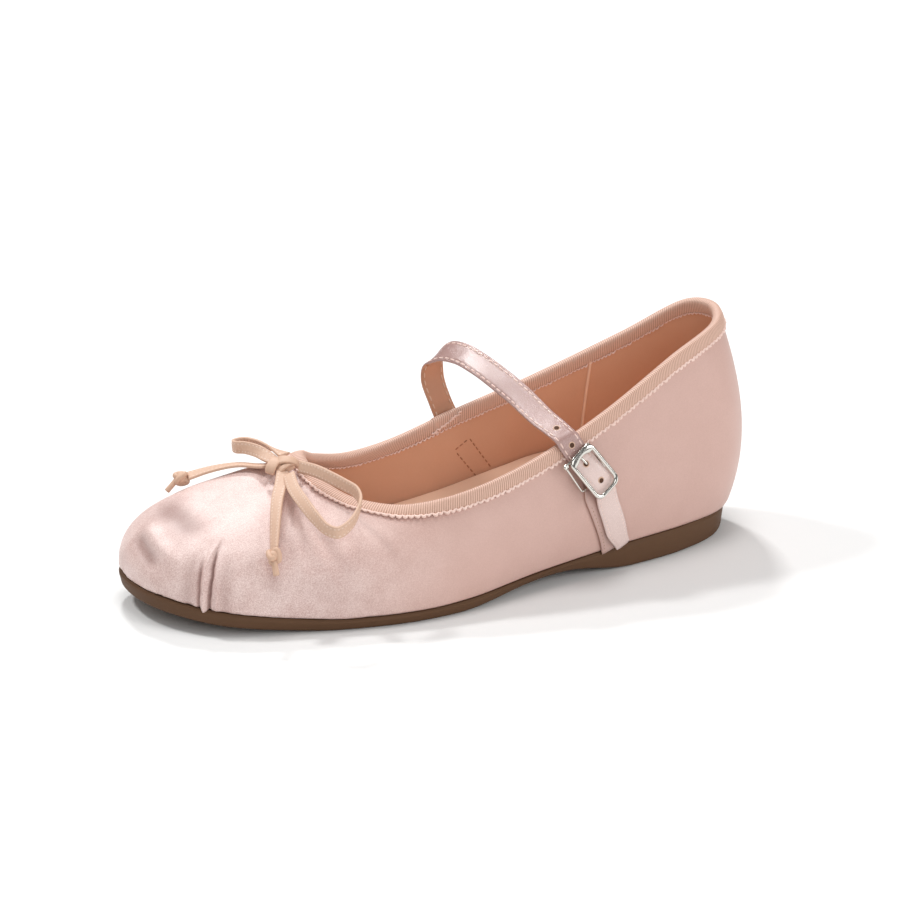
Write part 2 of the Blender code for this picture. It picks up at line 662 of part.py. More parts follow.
def lace_band(name, path, facing, rolls):
    """A flat lace along a path: it faces one way where its roll is 0 and stands on edge at a quarter turn."""
    tangent = unit(np.gradient(path, axis=0))
    flat = unit(np.cross(tangent, facing))
    roll = np.radians(rolls)[:, None]
    across = np.cos(roll) * flat + np.sin(roll) * np.cross(flat, tangent)
    points, faces = closed_ends(band_sections(path, across, LACE_WIDTH, LACE_THICKNESS))
    return mesh_object(name, points, faces, LACE)


def make_bow_loop(name, offsets):
    """One loop of the bow: flat where it leaves the knot, on edge round its far end."""
    path = lace_path(offsets)
    share = np.linspace(0.0, 1.0, len(path))
    facing = area_direction(path)
    return lace_band(name, path, facing * np.sign(facing[2]), 90.0 * np.sin(math.pi * share))


def make_bow_tail(name, offsets, facing, twist):
    """One end of the bow, from its knot to the small knot near its tip."""
    path = lace_path(offsets)
    run = np.linalg.norm(path - path[-1], axis=1)
    path = path[run > BEAD_LENGTH / 2 + GAP]
    return lace_band(name, path, np.array(facing), np.linspace(0.0, twist, len(path)))


def make_end_knot(name, offsets, tip):
    """The small knot near a lace's tip, with the short end that hangs from it."""
    centre, before = lace_path(offsets)[-1], lace_path(offsets)[-3]
    along = unit(np.array(tip) * MM + BOW_KNOT - centre)
    into = unit(centre - before)
    start = centre - into * BEAD_LENGTH / 2
    radius, lace = BEAD_DIAMETER / 2, LACE_WIDTH / 4
    stations = ((0.0, 0.45), (0.15, 0.85), (0.45, 1.0), (0.8, 0.88), (1.0, 0.45))
    rings = []
    for share, size in stations:
        rings.append((start + into * BEAD_LENGTH * share, into, radius * size))
    for share in (0.15, 1.0):
        rings.append((centre + into * BEAD_LENGTH / 2 + along * LACE_END * share, along, lace))
    points = []
    for place, axis, size in rings:
        side = unit(np.cross(axis, (0.0, 0.0, 1.0)))
        over = np.cross(side, axis)
        for angle in np.linspace(0.0, 2 * math.pi, 10, endpoint=False):
            points.append(place + size * (math.cos(angle) * side + math.sin(angle) * over))
    points, faces = closed_ends([points[i : i + 10] for i in range(0, len(points), 10)])
    return mesh_object(name, points, faces, LACE)


def make_bow_knot():
    """The knot at the middle of the bow, a rounded turn of lace lying on the vamp."""
    mesh = bpy.data.meshes.new("bow_knot")
    bm = bmesh.new()
    bmesh.ops.create_uvsphere(bm, u_segments=14, v_segments=8, radius=0.5)
    size = np.array([BOW_KNOT_LENGTH, BOW_KNOT_WIDTH, BOW_KNOT_HEIGHT])
    along = unit(BOW_FORWARD - BOW_NORMAL * (BOW_FORWARD @ BOW_NORMAL))
    side = np.cross(BOW_NORMAL, along)
    for vert in bm.verts:
        a, b, c = np.array(vert.co) * size
        vert.co = BOW_KNOT + a * along + b * side + c * BOW_NORMAL
    bmesh.ops.recalc_face_normals(bm, faces=bm.faces)
    bm.to_mesh(mesh)
    bm.free()
    knot = bpy.data.objects.new("bow_knot", mesh)
    PARTS.objects.link(knot)
    mesh.materials.append(LACE)
    mesh.shade_smooth()
    return knot


clear_scene()
PARTS = bpy.data.collections.new("mary_jane_shoe")
bpy.context.scene.collection.children.link(PARTS)
SATIN = material("pink_satin", (0.74, 0.52, 0.50), 0.34)
RUBBER = material("brown_sole", (0.155, 0.092, 0.060), 0.55)
FOOTBED = material("footbed_leather", (0.80, 0.55, 0.38), 0.5)
GROSGRAIN = material("grosgrain_tape", (0.72, 0.44, 0.32), 0.6)
STRAP_SATIN = material("strap_satin", (0.60, 0.38, 0.36), 0.36)
CHROME = material("buckle_chrome", (0.78, 0.78, 0.76), 0.14, 1.0)
LACE = material("lace_leather", (0.76, 0.52, 0.36), 0.55)
BUCKLE = buckle_frame_of_reference()

# The bow's knot on the vamp, in rows round the shoe and share up the profile
BOW_NORMAL = wall_normal(9.3, 0.93)[0]
BOW_KNOT = wall(9.3, 0.93, 0.0050)[0]
BOW_FORWARD = np.array([1.0, 0.0, 0.0])

# Places in the buckle's frame
LOOP_TURN = LOOP_WIRE / 2 + GAP + BASE_STRAP_THICKNESS / 2  # radius of the fold round the lower bar
PIN_ALONG = 0.0010 - BUCKLE_LENGTH / 2
LOOP_BAR_ALONG = PIN_ALONG + LOOP_DROP
LOOP_BAR_OFF = GAP + BASE_STRAP_THICKNESS / 2 + LOOP_TURN
PIN_OFF = 2 * GAP + BINDING_THICKNESS + STRAP_THICKNESS + GAP + LOOP_WIRE / 2
LOOP_TOE_SIDE = STRAP_WIDTH / 2 + 0.0026
LOOP_HEEL_SIDE = STRAP_WIDTH / 2 + 0.0010
FRAME_LEAN = 0.10  # rise of the frame off the wall, for each unit down the strap
FRAME_OFF = PIN_OFF + LOOP_WIRE / 2 + GAP + FRAME_THICKNESS / 2 - FRAME_LEAN * PIN_ALONG

make_outsole()
make_upper()
make_insole()
make_collar_binding()
make_strap()
make_base_strap()
make_buckle_frame()
make_buckle_loop()
make_buckle_prong()
make_bow_knot()
make_bow_loop("bow_loop_outer", OUTER_LOOP)
make_bow_loop("bow_loop_inner", INNER_LOOP)
make_bow_tail("bow_tail_outer", OUTER_TAIL, (0.2, 0.6, 0.77), 60.0)
make_bow_tail("bow_tail_inner", INNER_TAIL, (0.1, -0.5, 0.86), 40.0)
make_end_knot("end_knot_outer", OUTER_TAIL, OUTER_TIP)
make_end_knot("end_knot_inner", INNER_TAIL, INNER_TIP)
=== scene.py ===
# %% [markdown]
# # A left mary jane shoe
#
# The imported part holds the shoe's plain solids: sole, upper, insole, binding, two straps, buckle and bow.
# Each step below says what a piece is on the real shoe, makes a finer piece in the same place and gives it
# its material. Metres: +X to the toe, +Y to the outer side of the foot, +Z up.

# %%
import math
from collections import namedtuple

import bmesh
import bpy
import numpy as np
from mathutils import Matrix, Vector


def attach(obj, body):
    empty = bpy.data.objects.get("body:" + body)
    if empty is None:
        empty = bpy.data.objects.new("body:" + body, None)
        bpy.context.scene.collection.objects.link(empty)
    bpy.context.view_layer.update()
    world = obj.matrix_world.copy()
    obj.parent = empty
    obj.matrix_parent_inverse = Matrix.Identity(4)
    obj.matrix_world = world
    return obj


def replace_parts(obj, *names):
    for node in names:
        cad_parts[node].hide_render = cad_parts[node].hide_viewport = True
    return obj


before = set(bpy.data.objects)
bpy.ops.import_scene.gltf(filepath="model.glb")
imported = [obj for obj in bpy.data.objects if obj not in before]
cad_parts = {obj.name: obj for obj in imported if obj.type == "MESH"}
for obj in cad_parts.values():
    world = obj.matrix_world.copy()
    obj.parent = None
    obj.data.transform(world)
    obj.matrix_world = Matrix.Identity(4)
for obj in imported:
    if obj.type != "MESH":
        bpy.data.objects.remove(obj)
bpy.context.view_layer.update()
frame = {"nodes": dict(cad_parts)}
print("solids:", ", ".join(frame["nodes"]))

# %% [markdown]
# ## Camera
#
# The shoe is seen from its outer side and from above, with the toe at the left. The lens is long, as in a
# product photograph, so the camera stands far away and the outline hardly narrows.

# %%
AZIMUTH, ELEVATION = math.radians(153.39), math.radians(19.75)
TARGET = np.array([0.0870, -0.00285, 0.04422])
DISTANCE, FOCAL_LENGTH, SENSOR_WIDTH = 1.655, 182.4, 36.0
LEVEL = math.cos(ELEVATION)
BACK = np.array([math.sin(AZIMUTH) * LEVEL, -math.cos(AZIMUTH) * LEVEL, math.sin(ELEVATION)])
RIGHT = np.array([math.cos(AZIMUTH), math.sin(AZIMUTH), 0.0])

lens = bpy.data.cameras.new("camera")
lens.lens = FOCAL_LENGTH
lens.sensor_width = SENSOR_WIDTH
camera = bpy.data.objects.new("camera", lens)
bpy.context.scene.collection.objects.link(camera)
turn = Matrix((RIGHT, np.cross(BACK, RIGHT), BACK)).transposed()
camera.matrix_world = Matrix.Translation(Vector(TARGET + DISTANCE * BACK)) @ turn.to_4x4()
bpy.context.scene.camera = camera
print("camera at", [round(v, 3) for v in camera.matrix_world.translation])

# %% [markdown]
# ## The last
#
# A shoe is made round a last, so every piece here follows one surface: rows of four control points round the
# foot, as in the part. A row's foot is on the sole and its top at the collar.

# %%
SHOE_LENGTH, BALL_WIDTH, COLLAR_HEIGHT = 0.246, 0.079, 0.081
UPPER_WALL, GAP, HEEL_REST = 0.0016, 0.0003, 0.030
HEEL_HEIGHT, FOREPART_SOLE, ARCH_RISE, TOE_SPRING, TOE_THICKENING = 0.0102, 0.0042, 0.0042, 0.0080, 0.0020

# Shares of SHOE_LENGTH along, BALL_WIDTH across, for lean and for swell, and COLLAR_HEIGHT up
Row = namedtuple("Row", "name foot_along foot_across top_along top_across height lean rise swell drop")
ROWS = (
    Row("heel_back", 0.010, -0.030, 0.034, -0.030, 1.042, 0.112, 0.285, 0.108, 0.315),
    Row("heel_lateral", 0.050, 0.190, 0.058, 0.138, 1.010, 0.105, 0.290, 0.105, 0.310),
    Row("quarter_back_lateral", 0.145, 0.320, 0.156, 0.280, 0.925, 0.066, 0.226, 0.037, 0.246),
    Row("quarter_lateral", 0.280, 0.395, 0.287, 0.375, 0.748, 0.063, 0.172, 0.023, 0.198),
    Row("waist_lateral", 0.420, 0.460, 0.414, 0.430, 0.600, 0.075, 0.148, 0.024, 0.173),
    Row("waist_fore_lateral", 0.544, 0.548, 0.520, 0.432, 0.514, 0.051, 0.148, 0.050, 0.123),
    Row("ball_lateral", 0.650, 0.553, 0.602, 0.354, 0.467, 0.038, 0.173, 0.127, 0.099),
    Row("toe_side_lateral", 0.788, 0.448, 0.663, 0.235, 0.481, 0.025, 0.196, 0.278, 0.099),
    Row("toe_corner_lateral", 0.907, 0.294, 0.692, 0.116, 0.519, 0.025, 0.222, 0.405, 0.111),
    Row("toe_front", 0.974, -0.038, 0.704, -0.006, 0.562, 0.032, 0.267, 0.500, 0.117),
    Row("toe_corner_medial", 0.957, -0.375, 0.701, -0.144, 0.605, 0.038, 0.298, 0.450, 0.104),
    Row("toe_side_medial", 0.832, -0.459, 0.666, -0.242, 0.548, 0.034, 0.222, 0.263, 0.085),
    Row("ball_medial", 0.700, -0.456, 0.601, -0.333, 0.493, 0.039, 0.174, 0.103, 0.095),
    Row("waist_fore_medial", 0.560, -0.353, 0.516, -0.385, 0.505, 0.076, 0.146, 0.051, 0.125),
    Row("waist_medial", 0.426, -0.266, 0.415, -0.389, 0.589, 0.127, 0.173, 0.025, 0.173),
    Row("quarter_medial", 0.284, -0.303, 0.282, -0.356, 0.712, 0.076, 0.173, 0.024, 0.198),
    Row("quarter_back_medial", 0.141, -0.328, 0.141, -0.305, 0.870, 0.063, 0.221, 0.023, 0.247),
    Row("heel_medial", 0.041, -0.235, 0.056, -0.185, 1.020, 0.095, 0.273, 0.085, 0.320),
)
ROW_COUNT, TOE_ROW = len(ROWS), 9


def ease(start, end, value):
    """0 before start, 1 after end, and a smooth step between them."""
    t = np.clip((value - start) / (end - start), 0.0, 1.0)
    return t * t * (3.0 - 2.0 * t)


def unit(vectors):
    return vectors / np.linalg.norm(vectors, axis=-1, keepdims=True)


def through(knots, values, where):
    """A smooth cubic through values at knots, read at where."""
    step = np.diff(knots)
    slope = np.diff(values, axis=0) / step[:, None]
    tangent = np.empty_like(values)
    tangent[0], tangent[-1] = slope[0], slope[-1]
    weight = (step[1:] + step[:-1])[:, None]
    tangent[1:-1] = (slope[:-1] * step[1:, None] + slope[1:] * step[:-1, None]) / weight
    i = np.clip(np.searchsorted(knots, where, side="right") - 1, 0, len(knots) - 2)
    h = step[i][:, None]
    t = ((where - knots[i]) / step[i])[:, None]
    ends = (1 + 2 * t) * (1 - t) ** 2 * values[i] + t * t * (3 - 2 * t) * values[i + 1]
    return ends + h * (t * (1 - t) ** 2 * tangent[i] + t * t * (t - 1) * tangent[i + 1])


def spaced(points, step):
    """A smooth curve through points, read at even distances of about step."""
    points = np.asarray(points, float)
    gaps = np.linalg.norm(np.diff(points[:, :3], axis=0), axis=1)
    knots = np.concatenate([[0.0], np.cumsum(np.sqrt(gaps))])
    fine = through(knots, points, np.linspace(0.0, knots[-1], 1200))
    run = lengths_along(fine[:, :3])
    where = np.linspace(0.0, run[-1], max(3, round(run[-1] / step) + 1))
    return np.column_stack([np.interp(where, run, fine[:, i]) for i in range(fine.shape[1])])


def lengths_along(points):
    return np.concatenate([[0.0], np.cumsum(np.linalg.norm(np.diff(points, axis=0), axis=1))])


SCALES = [SHOE_LENGTH, BALL_WIDTH, SHOE_LENGTH, BALL_WIDTH, COLLAR_HEIGHT]
SCALES += [BALL_WIDTH, COLLAR_HEIGHT, BALL_WIDTH, COLLAR_HEIGHT]
LENGTHS = np.array([row[1:] for row in ROWS]) * SCALES
LENGTHS[:, [0, 2]] -= HEEL_REST
NEAR = np.vstack([LENGTHS, LENGTHS[:1]])[:, :4] * [1.0, 1.0, 0.6, 0.6]
KNOTS = np.concatenate([[0.0], np.cumsum(np.sqrt(np.linalg.norm(np.diff(NEAR, axis=0), axis=1)))])


def columns(around):
    """The rows' lengths at places round the shoe, counted in rows from the back of the heel."""
    around = np.mod(np.asarray(around, float), ROW_COUNT)
    knots = np.concatenate([KNOTS[-3:-1] - KNOTS[-1], KNOTS, KNOTS[1:3] + KNOTS[-1]])
    values = np.vstack([LENGTHS[-2:], LENGTHS, LENGTHS[:3]])
    return through(knots, values, np.interp(around, np.arange(ROW_COUNT + 1), KNOTS))


def sole_bottom(x):
    share = (x + HEEL_REST) / SHOE_LENGTH
    arch = ease(0.235, 0.36, share) * (1.0 - ease(0.37, 0.56, share))
    return ARCH_RISE * arch + TOE_SPRING * np.clip((share - 0.74) / 0.28, 0.0, None) ** 1.4


def sole_top(x):
    share = (x + HEEL_REST) / SHOE_LENGTH
    heel = 1.0 - ease(0.16, 0.62, share)
    spring = np.clip((share - 0.72) / 0.30, 0.0, None) ** 1.4
    return FOREPART_SOLE + (HEEL_HEIGHT - FOREPART_SOLE) * heel + (TOE_SPRING + TOE_THICKENING) * spring


def foot_normals(around):
    along = columns(around + 0.05)[:, :2] - columns(around - 0.05)[:, :2]
    return unit(np.stack([-along[:, 1], along[:, 0]], axis=1))


def controls(around):
    """The four control points of the wall's profile at each place round the shoe."""
    c = columns(around)
    foot = np.column_stack([c[:, 0:2], sole_top(c[:, 0]) + GAP])
    top = c[:, 2:5]
    outward = foot_normals(around)
    reach = foot[:, :2] - top[:, :2]
    distance = np.linalg.norm(reach, axis=1, keepdims=True)
    share = np.clip(distance / (0.15 * BALL_WIDTH), 0.0, 1.0)
    spread = unit(outward * (1.0 - share) + share * reach / np.maximum(distance, 1e-9))
    low = foot + np.column_stack([outward * c[:, 5:6], c[:, 6]])
    high = top + np.column_stack([spread * c[:, 7:8], -c[:, 8]])
    return np.stack([foot, low, high, top], axis=1)


def profile(points, u):
    foot, low, high, top = (points[:, None, k] for k in range(4))
    return (1 - u) ** 3 * foot + 3 * u * (1 - u) ** 2 * low + 3 * u * u * (1 - u) * high + u**3 * top


def wall(around, ups, out=0.0):
    """A grid of points on the upper's outer face, one profile for each place round it, and its normals."""
    around = np.atleast_1d(np.asarray(around, float))
    u = np.asarray(ups, float) * np.ones((len(around), 1))
    u = u[..., None]
    at = controls(around)
    foot, low, high, top = (at[:, None, k] for k in range(4))
    rise = (1 - u) ** 2 * (low - foot) + 2 * u * (1 - u) * (high - low) + u * u * (top - high)
    along = profile(controls(around + 0.01), u) - profile(controls(around - 0.01), u)
    normal = unit(np.cross(rise, along))
    out = np.asarray(out, float)
    return profile(at, u) + (out[..., None] if out.ndim else out) * normal, normal


def wall_points(around, up, out=0.0):
    """Points on the outer face, one for each place and height, and their normals."""
    around = np.atleast_1d(np.asarray(around, float))
    up = (np.asarray(up, float) * np.ones(len(around)))[:, None]
    points, normals = wall(around, up)
    return points[:, 0] + np.asarray(out, float).reshape(-1, 1) * normals[:, 0], normals[:, 0]


def up_below_collar(around, depth):
    at = controls(np.asarray(around, float))
    return 1.0 - depth / (3.0 * np.linalg.norm(at[:, 3] - at[:, 2], axis=1))


def up_at_height(around, height, out=0.0):
    low, high = np.zeros(len(around)), np.ones(len(around))
    for _ in range(24):
        middle = (low + high) / 2
        under = wall_points(around, middle, out)[0][:, 2] < height
        low, high = np.where(under, middle, low), np.where(under, high, middle)
    return (low + high) / 2


def place_on_wall(along, height, side):
    """Rows round the shoe and share up the profile where the outer face has a given x and height."""
    first, last = (0.0, TOE_ROW) if side == "outer" else (ROW_COUNT, TOE_ROW)
    around, up = np.array([(first + last) / 2.0]), np.array([0.5])
    for _ in range(6):
        low, high = float(first), float(last)
        for _ in range(20):
            around = np.array([(low + high) / 2])
            if wall_points(around, up)[0][0, 0] < along:
                low = around[0]
            else:
                high = around[0]
        up = up_at_height(around, height)
    return around[0], up[0]


print("collar at the heel:", wall_points(0.0, 1.0)[0].round(4))

# %% [markdown]
# ## Tools for materials and meshes
#
# A shader's sockets add and multiply here like numbers, which keeps each material short. Every piece is made
# by the same mesh function, with a map in metres so that threads and stitches have their real size.


# %%
class Socket:
    """A value in a material. It adds, subtracts, multiplies and divides like a number."""

    def __init__(self, sheet, plug):
        self.sheet, self.plug = sheet, plug

    def math(self, operation, *values):
        return self.sheet.node("ShaderNodeMath", values, operation=operation)

    def __add__(self, other):
        return self.math("ADD", self, other)

    def __sub__(self, other):
        return self.math("SUBTRACT", self, other)

    def __rsub__(self, other):
        return self.math("SUBTRACT", other, self)

    def __mul__(self, other):
        return self.math("MULTIPLY", self, other)

    def __truediv__(self, other):
        return self.math("DIVIDE", self, other)

    __radd__, __rmul__ = __add__, __mul__

    def wave(self, period):
        """A smooth wave from 0 to 1 with this period."""
        return self.math("COSINE", self * (2 * math.pi / period)) * -0.5 + 0.5

    def above(self, low, high):
        """0 below low, 1 above high, smooth between them."""
        names = {"From Min": low, "From Max": high, "Value": self}
        return self.sheet.node("ShaderNodeMapRange", names, interpolation_type="SMOOTHSTEP")


class Sheet:
    """A material's nodes round its main shader."""

    def __init__(self, name, colour, roughness, **constants):
        self.material = bpy.data.materials.new(name)
        self.material.use_nodes = True
        self.tree = self.material.node_tree
        self.shader = self.tree.nodes["Principled BSDF"]
        self.shader.inputs["Base Color"].default_value = (*colour, 1.0)
        self.shader.inputs["Roughness"].default_value = roughness
        for key, value in constants.items():
            self.shader.inputs[key.replace("_", " ")].default_value = value

    def node(self, kind, values=(), output=0, **settings):
        made = self.tree.nodes.new(kind)
        for key, value in settings.items():
            setattr(made, key, value)
        for slot, value in values.items() if isinstance(values, dict) else enumerate(values):
            if isinstance(value, Socket):
                self.tree.links.new(value.plug, made.inputs[slot])
            else:
                made.inputs[slot].default_value = value
        return Socket(self, made.outputs[output])

    def place(self):
        return self.node("ShaderNodeTexCoord", output="Object")

    def cloth(self):
        """The piece's own map in metres, as two values: along and across."""
        where = self.node("ShaderNodeUVMap", uv_map="cloth")
        apart = self.node("ShaderNodeSeparateXYZ", {0: where})
        return apart, Socket(self, apart.plug.node.outputs[1]), where

    def stretched(self, vector, scales):
        return self.node("ShaderNodeVectorMath", {0: vector, 1: scales}, operation="MULTIPLY")

    def noise(self, size, detail=2.0, rough=0.5, vector=None):
        """Soft noise from 0 to 1 whose lumps are about size metres."""
        names = {"Scale": 1.0 / size, "Detail": detail, "Roughness": rough, "Vector": vector or self.place()}
        return self.node("ShaderNodeTexNoise", names)

    def mix(self, share, first, second):
        """A colour between two colours."""
        pick = lambda c: c if isinstance(c, Socket) else (*c, 1.0)
        names = {0: share, 6: pick(first), 7: pick(second)}
        return self.node("ShaderNodeMix", names, output=2, data_type="RGBA")

    def feed(self, bump=None, depth=0.0002, strength=1.0, **values):
        for key, value in values.items():
            self.tree.links.new(value.plug, self.shader.inputs[key.replace("_", " ")])
        if bump is not None:
            names = {"Height": bump, "Distance": depth, "Strength": strength}
            normal = self.node("ShaderNodeBump", names)
            self.tree.links.new(normal.plug, self.shader.inputs["Normal"])
        return self.material


def add_object(name, mesh):
    made = bpy.data.objects.new(name, mesh)
    bpy.context.scene.collection.objects.link(made)
    return made


def add_piece(name, mesh, finish):
    """A smooth piece that rides on the shoe's one body."""
    mesh.shade_smooth()
    mesh.materials.append(finish)
    made = add_object(name, mesh)
    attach(made, "root")
    return made


def surface(name, grid, finish, round_u=False, round_v=False, lay=None, slot=None, caps=False):
    """A piece made of quads over grid[u, v]. lay gives its map in metres at every corner of its faces."""
    nu, nv = grid.shape[:2]
    columns_u, columns_v = np.arange(nu if round_u else nu - 1), np.arange(nv if round_v else nv - 1)
    i, j = np.meshgrid(columns_u, columns_v, indexing="ij")
    i, j = i.ravel(), j.ravel()
    k, l = (i + 1) % nu, (j + 1) % nv
    faces = np.stack([i * nv + j, k * nv + j, k * nv + l, i * nv + l], axis=1)
    points = grid.reshape(-1, 3)
    corners = points[faces]
    volume = (np.cross(corners[:, 1] - corners[:, 0], corners[:, 2] - corners[:, 0]) * corners[:, 0]).sum()
    volume += (np.cross(corners[:, 2] - corners[:, 0], corners[:, 3] - corners[:, 0]) * corners[:, 0]).sum()
    us, vs = np.stack([i, i + 1, i + 1, i], axis=1), np.stack([j, j, j + 1, j + 1], axis=1)
    if volume < 0:
        faces, us, vs = faces[:, ::-1], us[:, ::-1], vs[:, ::-1]
    lists = faces.tolist()
    if caps:
        first, last = list(range(nv)), list(range((nu - 1) * nv, nu * nv))
        lists += [first, last[::-1]] if volume > 0 else [first[::-1], last]
    mesh = bpy.data.meshes.new(name)
    mesh.from_pydata(points.tolist(), [], lists)
    if lay is not None:
        layer = mesh.uv_layers.new(name="cloth")
        flat = np.zeros((len(mesh.loops), 2))
        flat[: faces.size] = lay[us.ravel(), vs.ravel()]
        layer.data.foreach_set("uv", flat.ravel())
    return add_piece(name, mesh, finish)


def merged(name, pieces, finish):
    """One piece made of many small ones, each given as its points and faces."""
    points, faces = [], []
    for piece_points, piece_faces in pieces:
        start = len(points)
        points += [tuple(p) for p in piece_points]
        faces += [[start + i for i in face] for face in piece_faces]
    mesh = bpy.data.meshes.new(name)
    mesh.from_pydata(points, [], faces)
    return add_piece(name, mesh, finish)


def capsule(start, end, radius, side, sides=6, flat=1.0):
    """Points and faces of a rounded bar from start to end. flat squeezes it square to side."""
    axis = unit(end - start)
    side = unit(side - axis * (side @ axis))
    over = np.cross(axis, side)
    points = [start - axis * radius * 0.6]
    for along, size in ((0.0, 0.8), (0.4, 1.0), (0.6, 1.0), (1.0, 0.8)):
        place = start * (1.0 - along) + end * along
        for a in range(sides):
            angle = 2 * math.pi * a / sides
            points.append(place + radius * size * (math.cos(angle) * side + flat * math.sin(angle) * over))
    points.append(end + axis * radius * 0.6)
    faces = [[0, 1 + (a + 1) % sides, 1 + a] for a in range(sides)]
    for ring in range(3):
        for a in range(sides):
            b = (a + 1) % sides
            low = 1 + ring * sides
            faces.append([low + a, low + b, low + sides + b, low + sides + a])
    top = 1 + 3 * sides
    faces += [[top + a, top + (a + 1) % sides, top + sides] for a in range(sides)]
    return points, faces


def tube_grid(path, radius, side, sides=8):
    """Rings of a round tube along a path."""
    tangent = unit(np.gradient(path, axis=0))
    across = unit(side - tangent * (side * tangent).sum(axis=1, keepdims=True))
    over = np.cross(tangent, across)
    angle = np.linspace(0.0, 2 * math.pi, sides, endpoint=False)[None, :, None]
    radius = (np.ones(len(path)) * radius)[:, None, None]
    return path[:, None] + radius * (np.cos(angle) * across[:, None] + np.sin(angle) * over[:, None])


# %% [markdown]
# ## Materials
#
# Blush satin with a fine weave and a soft sheen, tan lining, peach footbed, ribbed grosgrain, polished
# nickel, cream lace and matte brown rubber. Threads and grain are noise and waves at their real size.


# %%
def satin(name, light, dark, roughness, grain, toe=None, tip=None, shine=0.65):
    """Satin. toe gives the toe's light and dark colours, painted lighter for the light the toe catches, and
    the shade painted into its folds; tip gives the strap end's colour, painted lighter for the light it
    catches, and where it starts.
    """
    gloss = {"Specular_IOR_Level": shine, "Coat_Weight": 0.3 * shine, "Coat_Roughness": roughness}
    sheet = Sheet(name, light, roughness, **gloss)
    along, up, where = sheet.cloth()
    threads = sheet.noise(grain, 2.0, 0.7).above(0.30, 0.70)
    streaks = sheet.noise(1.0, 2.0, 0.6, sheet.stretched(where, (1600.0, 260.0, 1.0)))
    patches = sheet.noise(0.010, 3.0).above(0.30, 0.70)
    tone = threads * 0.52 + streaks * 0.24 + patches * 0.22 - 0.03
    colour = sheet.mix(tone, dark, light)
    rough, relief = threads * 0.12 + (roughness - 0.06), streaks * 0.4 + threads
    if toe:
        toe_light, toe_dark, toe_shade = toe
        # The toe's colours are painted lighter than the rest of the satin, standing in for the light the toe
        # catches.
        front = sheet.node("ShaderNodeSeparateXYZ", {0: sheet.place()}).above(0.095, 0.170)
        colour = sheet.mix(front, colour, sheet.mix(tone * 1.35 - 0.18, toe_dark, toe_light))
        # Shade painted into the satin's colour along the creases, darkest in their troughs.
        painted_fold_shade = sheet.node("ShaderNodeAttribute", output=2, attribute_name="painted_fold_shade")
        colour = sheet.mix(painted_fold_shade, colour, toe_shade)
        relief = relief * (front * 0.75 + 0.25)
    # The strap's end below the buckle is painted a lighter colour, standing in for the light it catches
    # there.
    if tip:
        colour = sheet.mix(along.above(tip[1], tip[1] + 0.003), colour, tip[0])
    return sheet.feed(relief, 0.000045, 0.8, Base_Color=colour, Roughness=rough)


def leather(name, light, dark, roughness, grain=0.0009, depth=0.00004, shine=0.4):
    sheet = Sheet(name, light, roughness, Specular_IOR_Level=shine)
    pores = sheet.noise(grain, 3.0, 0.6)
    patches = sheet.noise(0.015, 2.0)
    colour = sheet.mix(patches * 0.6 + pores * 0.4, dark, light)
    return sheet.feed(pores, depth, 0.7, Base_Color=colour, Roughness=pores * 0.15 + (roughness - 0.07))


# The toe colours are painted lighter for the light the toe catches; the last toe colour is the shade painted
# into the folds.
SATIN = satin(
    "blush_satin", (0.64, 0.418, 0.362), (0.56, 0.347, 0.292), 0.47, 0.00042,
    toe=((0.88, 0.710, 0.665), (0.56, 0.362, 0.325), (0.24, 0.115, 0.095)),
)
# The strap end's colour is painted lighter, as the light that end catches below the buckle.
STRAP_SATIN = satin(
    "strap_satin_fine", (0.43, 0.262, 0.235), (0.36, 0.206, 0.184), 0.24, 0.00030,
    tip=((0.74, 0.565, 0.520), 0.152), shine=1.0,
)
BASE_SATIN = satin("base_strap_satin", (0.60, 0.400, 0.350), (0.52, 0.330, 0.285), 0.36, 0.00030)
LINING = leather("tan_lining", (0.68, 0.385, 0.255), (0.61, 0.330, 0.208), 0.55)
FOOTBED = leather("peach_footbed", (0.88, 0.600, 0.440), (0.82, 0.540, 0.390), 0.55)
LACE = leather("cream_lace", (0.72, 0.49, 0.36), (0.55, 0.34, 0.235), 0.5, 0.0007, 0.0001)
RUBBER = leather("brown_rubber", (0.130, 0.067, 0.035), (0.105, 0.053, 0.027), 0.62, 0.0005, 0.00003, 0.18)
THREAD = leather("pale_thread", (0.93, 0.73, 0.660), (0.74, 0.50, 0.42), 0.5, 0.0004)
DARK_THREAD = leather("lining_thread", (0.46, 0.21, 0.12), (0.36, 0.16, 0.09), 0.7, 0.0004)
HOLE = leather("hole_edge", (0.42, 0.27, 0.20), (0.30, 0.17, 0.11), 0.8, 0.0004)
# A near-black colour painted as the shade inside the strap's holes.
HOLE_SHADE = leather("painted_hole_shade", (0.11, 0.045, 0.022), (0.05, 0.020, 0.010), 0.8, 0.0004)


def grosgrain():
    """Tape whose ribs cross it, with a painted highlight on each rib's crown and painted shade between them.
    """
    sheet = Sheet("ribbed_grosgrain", (0.75, 0.43, 0.31), 0.55, Sheen_Weight=0.15)
    along, across, where = sheet.cloth()
    rib = along.wave(RIB_PITCH)
    grain = sheet.noise(0.0006, 2.0)
    # Painted highlight on the rib crowns and painted shade in the dips between them.
    colour = sheet.mix(rib * 0.75 + grain * 0.25, (0.40, 0.210, 0.150), (0.78, 0.53, 0.42))
    return sheet.feed(grain, 0.00005, 0.6, Base_Color=colour)


def nickel():
    sheet = Sheet("polished_nickel", (0.74, 0.72, 0.67), 0.12, Metallic=1.0)
    smears = sheet.noise(0.002, 3.0)
    return sheet.feed(smears, 0.00002, 0.25, Roughness=smears * 0.14 + 0.06)


RIB_PITCH = 0.00082
GROSGRAIN = grosgrain()
NICKEL = nickel()
print("materials:", len(bpy.data.materials))

# %% [markdown]
# ## Bow laces
#
# A narrow lace is tied in a bow on the vamp: two loops that stand on edge at their far ends, two tails, and a
# small overhand knot near each tip. The routes are in millimetres from the middle of the knot. They are the
# part's, but for the outer tail, which starts nearer the knot here. The lace is flat, so each run is a thin
# band whose width turns as it goes.

